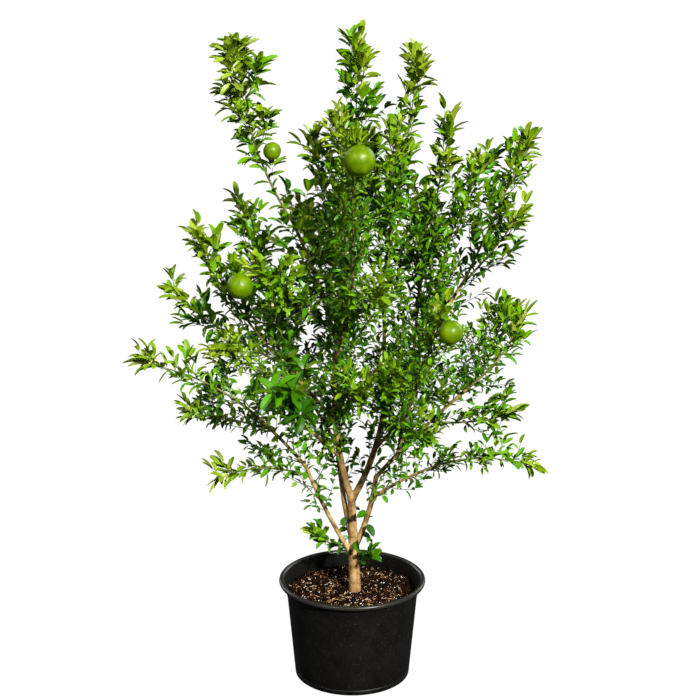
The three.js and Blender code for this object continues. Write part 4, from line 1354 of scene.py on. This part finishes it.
def bark_relief(mesh, settings):
    """Moves the bark's skin in and out: lumps, long streaks, and the ring scars of old leaf nodes."""
    total = len(mesh.vertices)
    places = np.empty(total * 3)
    normals = np.empty(total * 3)
    mesh.vertices.foreach_get("co", places)
    mesh.vertices.foreach_get("normal", normals)
    places, normals = places.reshape(-1, 3) / MM, normals.reshape(-1, 3)
    limbs = [TRUNK] + BOUGHS
    gaps = distances(places, np.array([limb.points for limb in limbs]))
    nearest = (gaps / [limb.radii[0] for limb in limbs]).argmin(axis=1)
    push = np.zeros(total)
    for index, limb in enumerate(limbs):
        rows = np.flatnonzero(nearest == index)
        axis = unit(limb.points[-1] - limb.points[0])
        run = (places[rows] - limb.points[0]) @ axis
        depth = THIN_LIMB_RELIEF + mix(*limb.radii, 0.5) / RELIEF_RADIUS
        for row, height in zip(rows, run):
            place = Vector(places[row])
            lump = noise.noise(place / BARK_LUMP_SIZE)
            along = Vector(axis) * height
            streak = noise.noise((place - along) / BARK_STREAK_SIZE
                                 + along / (BARK_STREAK_SIZE * BARK_STREAK_STRETCH))
            wander = BARK_RING_WANDER * noise.noise(Vector((height / BARK_RING_RUN, index, 0)))
            spacing = BARK_RING_SPACING * (1 + wander)
            phase = (height + BARK_RING_WAVE * lump) % spacing
            ring = math.exp(-((min(phase, spacing - phase) / BARK_RING_WIDTH) ** 2))
            push[row] = (LUMP_RELIEF * lump + STREAK_RELIEF * streak
                         + RING_RELIEF * ring * (RING_EVENNESS + lump)) * depth
    places += normals * (push * settings.relief)[:, None]
    mesh.vertices.foreach_set("co", (places * MM).ravel())
    mesh.update()


def build_bark(settings):
    placed = lay_out_tree()
    shape = Shape()
    for limb in [TRUNK] + BOUGHS:
        shape.add(*limb_tube(limb))
    for stub in STUBS:
        shape.add(*stub_tube(placed, *stub))
    rough = shape.to_object("limb_tubes", [])
    remesh = rough.modifiers.new("one skin", "REMESH")
    remesh.mode = "VOXEL"
    remesh.voxel_size = BARK_VOXEL * MM * 1
    smooth = rough.modifiers.new("eased forks", "SMOOTH")
    smooth.factor = 0.5
    smooth.iterations = BARK_SMOOTHING
    bark = evaluated_mesh(rough, "trunk_and_boughs")
    bark_relief(bark.data, settings)
    bark.data.materials.clear()
    bark.data.materials.append(citrus_bark("young citrus bark", settings))
    bark.data.shade_smooth()
    declare(bark, [TRUNK.name] + [bough.name for bough in BOUGHS])


# Pieces: foliage
def build_foliage(settings):
    lay_out_tree()
    growth = Growth(Space())
    for index, mass in enumerate(MASSES):
        grow_mass(growth, mass, index)
    for index, bough in enumerate(BOUGHS):
        grow_spurs(growth, bough, index)
    nodes = [mass.name for mass in MASSES]
    build_stems(growth, settings, nodes)
    leaves = Leaves(growth.leaves)
    leaves.settle(growth.space)
    pale = settings.underside_colour
    for level, tint in enumerate(TINT_NAMES):
        colour = getattr(settings, f"{tint}_colour")
        upper = citrus_leaf(f"{tint} citrus leaf, upper face", colour, roughness=0.32, specular=0.2)
        under = citrus_leaf(f"{tint} citrus leaf, underside", blend(colour, pale, UNDERSIDE_PALENESS),
                            roughness=0.62, specular=0.08)
        rows = np.flatnonzero(leaves.is_placed & (leaves.tint == level))
        points, faces, is_under = leaves.blades(rows)
        piece = mesh_object(f"leaves_{tint}", points * MM, faces, [upper, under], is_under)
        smooth_below(piece.data, LEAF_SMOOTH_ANGLE)
        declare(piece, nodes)
    build_buds(growth, settings, nodes)


def build_stems(growth, settings, nodes):
    woody = Shape()
    green = Shape()
    for mass, last in growth.stems:
        shares = np.linspace(0, last, STEM_STATIONS)
        points = np.array([point_at(mass.points, share) for share in shares])
        woody.add(*tube(points, np.linspace(*STEM_RADII, STEM_STATIONS), STEM_SIDES))
    for points, radii in growth.twigs:
        green.add(*tube(points, np.linspace(*radii, len(points)), TWIG_SIDES))
    stem_skin = green_shoot("ripening citrus stem", settings.stem_colour, settings.stem_wood_colour)
    twig_skin = green_shoot("green citrus twig", settings.twig_colour, settings.stem_colour)
    declare(woody.to_object("stems", [stem_skin]), nodes)
    declare(green.to_object("twigs", [twig_skin]), nodes)


def bud_bead(middle, axis):
    """A small closed bead drawn out along an axis."""
    # The helper direction leans a little, so that an upright bud has a direction across too
    across = unit(np.cross(axis, UP + 0.01))
    over = np.cross(axis, across)
    angles = np.linspace(0, 2 * math.pi, BUD_SIDES, endpoint=False)
    points = []
    for step in range(BUD_RINGS):
        slope = math.pi * (step + 1) / (BUD_RINGS + 1)
        centre = middle - axis * math.cos(slope) * BUD_LENGTH / 2
        for angle in angles:
            radius = math.sin(slope) * BUD_WIDTH / 2
            points.append(centre + (across * math.cos(angle) + over * math.sin(angle)) * radius)
    points += [middle - axis * BUD_LENGTH / 2, middle + axis * BUD_LENGTH / 2]
    return np.array(points), ring_faces(BUD_RINGS, BUD_SIDES)


def build_buds(growth, settings, nodes):
    """Blossom buds: cream beads in small clusters at some of the tips."""
    draw = draws_from(BUD_SEED)
    shape = Shape()
    for place, tint in growth.tips:
        if tint < BUD_TINT or next(draw) > settings.bud_share:
            continue
        for _ in range(BUD_CLUSTER):
            aim = unit(np.array([next(draw) - 0.5, next(draw) - 0.5, next(draw)]))
            shape.add(*bud_bead(place + aim * mix(*BUD_STAND, next(draw)), aim))
    skin = green_shoot("cream citrus bud", settings.bud_colour, settings.bud_light_colour)
    declare(shape.to_object("blossom_buds", [skin]), nodes)


# Pieces: fruit
def fruit_globe(radius):
    """A round fruit about +Z: a little flat, drawn in at the stalk, with a low nipple below."""
    dimple_depth, dimple_width = FRUIT_DIMPLE
    nipple_depth, nipple_width = FRUIT_NIPPLE
    points = []
    for ring in range(FRUIT_RINGS):
        slope = math.pi * (ring + 0.5) / FRUIT_RINGS
        dimple = dimple_depth * math.exp(-(((math.pi - slope) / dimple_width) ** 2))
        nipple = nipple_depth * math.exp(-((slope / nipple_width) ** 2))
        for segment in range(FRUIT_SEGMENTS):
            angle = 2 * math.pi * segment / FRUIT_SEGMENTS
            out = Vector((math.sin(slope) * math.cos(angle), math.sin(slope) * math.sin(angle),
                          -math.cos(slope)))
            lumps = sum(height * noise.noise(out * scale) for scale, height in FRUIT_LUMPS)
            size = radius * (1 + lumps - dimple + nipple)
            points.append((out.x * size, out.y * size, out.z * size * FRUIT_SQUASH))
    points += [(0, 0, -radius * FRUIT_SQUASH * (1 + nipple_depth)),
               (0, 0, radius * FRUIT_SQUASH * (1 - dimple_depth))]
    return np.array(points), ring_faces(FRUIT_RINGS, FRUIT_SEGMENTS)


def calyx_shape(radius):
    """The green star that holds the fruit: five lobes, cupped over the dimple."""
    points = []
    for height, share in CALYX_RINGS:
        for side in range(CALYX_SIDES):
            angle = 2 * math.pi * side / CALYX_SIDES
            lobe = 1 + CALYX_LOBING * math.cos(CALYX_LOBES * angle)
            reach = CALYX_RADIUS * share * (lobe if share == 1.0 else 1)
            points.append((reach * math.cos(angle), reach * math.sin(angle), height))
    points += [(0, 0, 0.0), (0, 0, CALYX_TOP)]
    seat = UP * radius * FRUIT_SQUASH * CALYX_SEAT
    return np.array(points) + seat, ring_faces(len(CALYX_RINGS), CALYX_SIDES)


def build_fruit(settings):
    lay_out_tree()
    globes = Shape()
    greens = Shape()
    nodes = []
    for mass in MASSES:
        if not mass.fruit:
            continue
        nodes.append(mass.name)
        middle, foot, radius = mass.fruit["middle"], mass.fruit["foot"], mass.fruit["radius"]
        axis = unit(unit(foot - middle) + STALK_UPRIGHT * UP)
        turn = np.array(Vector(axis).to_track_quat("Z", "Y").to_matrix())
        for shape, (points, faces) in ((globes, fruit_globe(radius)), (greens, calyx_shape(radius))):
            shape.add(points @ turn.T + middle, faces)
        top = middle + axis * radius * FRUIT_SQUASH * STALK_SEAT
        bow = top + axis * STALK_BOW
        steps = np.linspace(0, 1, STALK_STATIONS)[:, None]
        stalk = (1 - steps) ** 2 * top + 2 * (1 - steps) * steps * bow + steps ** 2 * foot
        greens.add(*tube(stalk, np.linspace(*STALK_RADII, STALK_STATIONS), STALK_SIDES))
    peel = citrus_peel("unripe citrus peel", settings)
    declare(globes.to_object("fruit", [peel]), nodes)
    calyx = green_shoot("citrus calyx and stalk", settings.calyx_colour, settings.calyx_wood_colour)
    declare(greens.to_object("fruit_stalks", [calyx]), nodes)


# Stage
def build_stage(settings):
    scene = bpy.context.scene
    paper = lit_paper("lit studio paper", settings.floor_colour, settings.floor_glow)
    angles = np.linspace(0, 2 * math.pi, FLOOR_SEGMENTS, endpoint=False)
    around = np.stack([np.cos(angles), np.sin(angles), np.zeros(FLOOR_SEGMENTS)], axis=1)
    rings = []
    for radius, height in FLOOR_RINGS:
        rings.append(around * radius * settings.floor_radius + UP * height * settings.floor_radius)
    points = np.concatenate([*rings, np.zeros((1, 3))])
    centre = len(points) - 1
    flat = [(i, (i + 1) % FLOOR_SEGMENTS, centre) for i in range(FLOOR_SEGMENTS)]
    sides = ring_faces(len(rings), FLOOR_SEGMENTS, is_closed=False)
    faces = np.concatenate([flat, sides[:, ::-1]])
    floor = mesh_object("floor", points, faces, [paper])
    floor.visible_diffuse = False
    floor.visible_glossy = False
    floor.visible_shadow = False
    world = bpy.data.worlds.new("studio sky")
    world.use_nodes = True
    backdrop = world.node_tree.nodes["Background"]
    backdrop.inputs["Color"].default_value = opaque(settings.sky_colour)
    backdrop.inputs["Strength"].default_value = settings.sky_strength
    scene.world = world
    for name, (lamp, side) in LAMPS.items():
        strength, softness, azimuth, elevation = (
            getattr(settings, f"{lamp}_{part}") for part in ("strength", "softness", "azimuth", "elevation"))
        add_sun(name, strength, softness, azimuth * side, elevation)
    camera = bpy.data.objects.new("camera", bpy.data.cameras.new("camera"))
    camera.data.sensor_width = SENSOR_WIDTH
    camera.data.lens = SENSOR_WIDTH * PHOTO_FOCAL / PHOTO_WIDTH
    camera.data.clip_end = CAMERA_REACH
    camera.location = CAMERA_PLACE
    camera.rotation_euler = (math.radians(90 - CAMERA_PITCH), 0, 0)
    scene.collection.objects.link(camera)
    scene.camera = camera
    scene.view_settings.view_transform = "Standard"


def add_sun(name, strength, softness, azimuth, elevation):
    """A distant lamp: azimuth is measured from the camera's side towards +X."""
    sun = bpy.data.objects.new(name, bpy.data.lights.new(name, "SUN"))
    sun.data.energy = strength
    sun.data.angle = softness
    towards = Vector((math.sin(azimuth) * math.cos(elevation), -math.cos(azimuth) * math.cos(elevation),
                      math.sin(elevation)))
    sun.rotation_euler = towards.to_track_quat("Z", "Y").to_euler()
    bpy.context.scene.collection.objects.link(sun)


# Settings that a user would change
def colour_setting(name, description, code):
    return FloatVectorProperty(name=name, description=description, subtype="COLOR", size=3, min=0, max=1,
                               default=linear(code))


def share_setting(name, description, share, least, most):
    return FloatProperty(name=name, description=description, default=share, min=least, max=most,
                         subtype="FACTOR")


def strength_setting(name, description, strength):
    return FloatProperty(name=name, description=description, default=strength, min=0.0)


def angle_setting(name, description, degrees):
    return FloatProperty(name=name, description=description, default=math.radians(degrees),
                         unit="ROTATION")


class PotSettings(bpy.types.PropertyGroup):
    colour: colour_setting("Wall", "Colour of the pot's wall", "#0a0907")
    # The rim is lighter than the wall as a painted sheen, not as a different plastic
    rim_sheen_colour: colour_setting("Rim", "Colour of the rolled rim", "#25241f")
    dust_colour: colour_setting("Dust", "Colour of the dust specks", "#6a665c")


class MixSettings(bpy.types.PropertyGroup):
    # The bed's near-black colours are partly painted shade in the gaps between the chips
    dark_colour: colour_setting("Bed", "Darkest colour of the bed", "#040301")
    crumb_colour: colour_setting("Crumbs", "Lighter crumbs of the bed", "#130b05")
    chip_dark_colour: colour_setting("Dark chips", "Colour of the wet bark chips", "#080401")
    chip_colour: colour_setting("Chips", "Colour of the bark chips", "#170c04")
    chip_light_colour: colour_setting("Dry chips", "Colour of the driest chips", "#4c2c0f")
    fibre_colour: colour_setting("Fibres", "Shaded colour of the bark fibres", "#6b4420")
    fibre_light_colour: colour_setting("Pale fibres", "Light colour of the fibres", "#dcb682")
    perlite_shade_colour: colour_setting("Perlite shade", "Shaded colour of the perlite", "#a39a8c")
    perlite_colour: colour_setting("Perlite", "Colour of the perlite grains", "#efebe2")
    fullness: share_setting("Fullness", "Share of the usual number of chips", 1.0, 0.1, 2.0)


class BarkSettings(bpy.types.PropertyGroup):
    colour: colour_setting("Bark", "Main colour of the bark", "#9a7746")
    shade_colour: colour_setting("Streaks", "Dark streaks in the bark", "#6a4e29")
    light_colour: colour_setting("Light bark", "Palest patches of the bark", "#bd9d69")
    # Greener than the bark as young wood, and darker as painted shade inside the crown
    young_colour: colour_setting("Young wood", "Greener wood higher up", "#7a6a34")
    relief: share_setting("Relief", "Share of the bark's usual relief", 1.0, 0.0, 2.0)


class FoliageSettings(bpy.types.PropertyGroup):
    # Older leaves are darker and new ones paler, but the tints also carry painted light: the inner ones are
    # painted shade, the outer ones painted light, lush is a lit copy of green and bright a lit copy of olive
    deep_colour: colour_setting("Deep", "Oldest leaves, deep in the crown", "#275601")
    dark_colour: colour_setting("Dark", "Older leaves", "#376c02")
    green_colour: colour_setting("Green", "Full-grown leaves inside", "#4a8802")
    lush_colour: colour_setting("Lush", "Full-grown leaves in the light", "#619504")
    olive_colour: colour_setting("Olive", "Outer leaves", "#6c920c")
    bright_colour: colour_setting("Bright", "Outer leaves in full light", "#7f9a18")
    fresh_colour: colour_setting("Fresh", "Leaves of this season", "#8ea62e")
    young_colour: colour_setting("Young", "Youngest leaves at the tips", "#9cb044")
    underside_colour: colour_setting("Underside", "Pale tone of a leaf's underside", "#9cb212")
    stem_colour: colour_setting("Stems", "Colour of the stems", "#55602a")
    stem_wood_colour: colour_setting("Woody stems", "Colour of the older stems", "#8a7748")
    twig_colour: colour_setting("Twigs", "Colour of the green twigs", "#47701f")
    bud_colour: colour_setting("Buds", "Shaded colour of the blossom buds", "#c9b98a")
    bud_light_colour: colour_setting("Light buds", "Light colour of the buds", "#efe3cf")
    bud_share: share_setting("Budding", "Share of the young tips that carry buds", 0.3, 0.0, 1.0)


class FruitSettings(bpy.types.PropertyGroup):
    peel_colour: colour_setting("Peel", "Main colour of the peel", "#517300")
    peel_light_colour: colour_setting("Light peel", "Yellower patches of the peel", "#728f00")
    calyx_colour: colour_setting("Calyx", "Colour of the calyx and stalk", "#4c7a1d")
    calyx_wood_colour: colour_setting("Woody stalk", "Corky parts of the stalk", "#8b8a4b")


class StageSettings(bpy.types.PropertyGroup):
    floor_colour: colour_setting("Floor", "Colour of the studio paper", "#333333")
    sky_colour: colour_setting("Sky", "Colour of the soft light all round", "#ffffff")
    floor_radius: FloatProperty(name="Floor radius", description="Radius of the paper", default=60.0,
                                min=1.0, unit="LENGTH")
    floor_glow: strength_setting("Floor glow", "Light from beneath the paper", 1.0)
    sky_strength: strength_setting("Sky strength", "Soft light all round", 0.03)
    key_strength: strength_setting("Key strength", "Strength of the key light", 6.4)
    key_softness: angle_setting("Key softness", "Width of the key light", 6)
    key_azimuth: angle_setting("Key azimuth", "Key light, right of the camera", 30)
    key_elevation: angle_setting("Key elevation", "Key light, above the horizon", 32)
    fill_strength: strength_setting("Fill strength", "Strength of the soft front light", 0.85)
    fill_softness: angle_setting("Fill softness", "Width of the soft front light", 16)
    fill_azimuth: angle_setting("Fill azimuth", "Soft front light, right of the camera", -36)
    fill_elevation: angle_setting("Fill elevation", "Soft front light, above the horizon", 38)
    side_strength: strength_setting("Side strength", "Strength of each of two side lights", 0.95)
    side_softness: angle_setting("Side softness", "Width of the side lights", 36)
    side_azimuth: angle_setting("Side azimuth", "Side lights, away from the camera", 134)
    side_elevation: angle_setting("Side elevation", "Side lights, above the horizon", 20)


class TreeSettings(bpy.types.PropertyGroup):
    pot: PointerProperty(type=PotSettings)
    potting_mix: PointerProperty(type=MixSettings)
    bark: PointerProperty(type=BarkSettings)
    foliage: PointerProperty(type=FoliageSettings)
    fruit: PointerProperty(type=FruitSettings)
    stage: PointerProperty(type=StageSettings)


class CITRUS_OT_stage(bpy.types.Operator):
    """Lays the floor and places the camera and the lights."""

    bl_idname = "citrus.stage"
    bl_label = "Stage"

    def execute(self, context):
        build_stage(context.scene.citrus_tree.stage)
        return {"FINISHED"}


class CITRUS_OT_pot(bpy.types.Operator):
    """Makes the moulded nursery pot."""

    bl_idname = "citrus.pot"
    bl_label = "Nursery Pot"

    def execute(self, context):
        build_pot(context.scene.citrus_tree.pot)
        return {"FINISHED"}


class CITRUS_OT_potting_mix(bpy.types.Operator):
    """Fills the pot with potting mix."""

    bl_idname = "citrus.potting_mix"
    bl_label = "Potting Mix"

    def execute(self, context):
        build_potting_mix(context.scene.citrus_tree.potting_mix)
        return {"FINISHED"}


class CITRUS_OT_bark(bpy.types.Operator):
    """Makes the trunk and boughs in one skin of bark."""

    bl_idname = "citrus.bark"
    bl_label = "Trunk and Boughs"

    def execute(self, context):
        build_bark(context.scene.citrus_tree.bark)
        return {"FINISHED"}


class CITRUS_OT_foliage(bpy.types.Operator):
    """Grows the stems, twigs, leaves and buds."""

    bl_idname = "citrus.foliage"
    bl_label = "Foliage"

    def execute(self, context):
        build_foliage(context.scene.citrus_tree.foliage)
        return {"FINISHED"}


class CITRUS_OT_fruit(bpy.types.Operator):
    """Hangs the fruit on its stalks."""

    bl_idname = "citrus.fruit"
    bl_label = "Fruit"

    def execute(self, context):
        build_fruit(context.scene.citrus_tree.fruit)
        return {"FINISHED"}


OPERATORS = (CITRUS_OT_stage, CITRUS_OT_pot, CITRUS_OT_potting_mix, CITRUS_OT_bark, CITRUS_OT_foliage,
             CITRUS_OT_fruit)


class CITRUS_PT_panel(bpy.types.Panel):
    bl_idname = "CITRUS_PT_panel"
    bl_label = "Citrus Tree"
    bl_space_type = "VIEW_3D"
    bl_region_type = "UI"
    bl_category = "Citrus Tree"

    def draw(self, context):
        for operator in OPERATORS:
            self.layout.operator(operator.bl_idname)


CLASSES = (PotSettings, MixSettings, BarkSettings, FoliageSettings, FruitSettings, StageSettings,
           TreeSettings, *OPERATORS, CITRUS_PT_panel)


def register():
    for cls in CLASSES:
        bpy.utils.register_class(cls)
    bpy.types.Scene.citrus_tree = PointerProperty(type=TreeSettings)


def unregister():
    del bpy.types.Scene.citrus_tree
    for cls in reversed(CLASSES):
        bpy.utils.unregister_class(cls)


def main():
    register()
    bpy.ops.citrus.stage()
    bpy.ops.citrus.pot()
    bpy.ops.citrus.potting_mix()
    bpy.ops.citrus.bark()
    bpy.ops.citrus.foliage()
    bpy.ops.citrus.fruit()


if __name__ == "__main__":
    main()
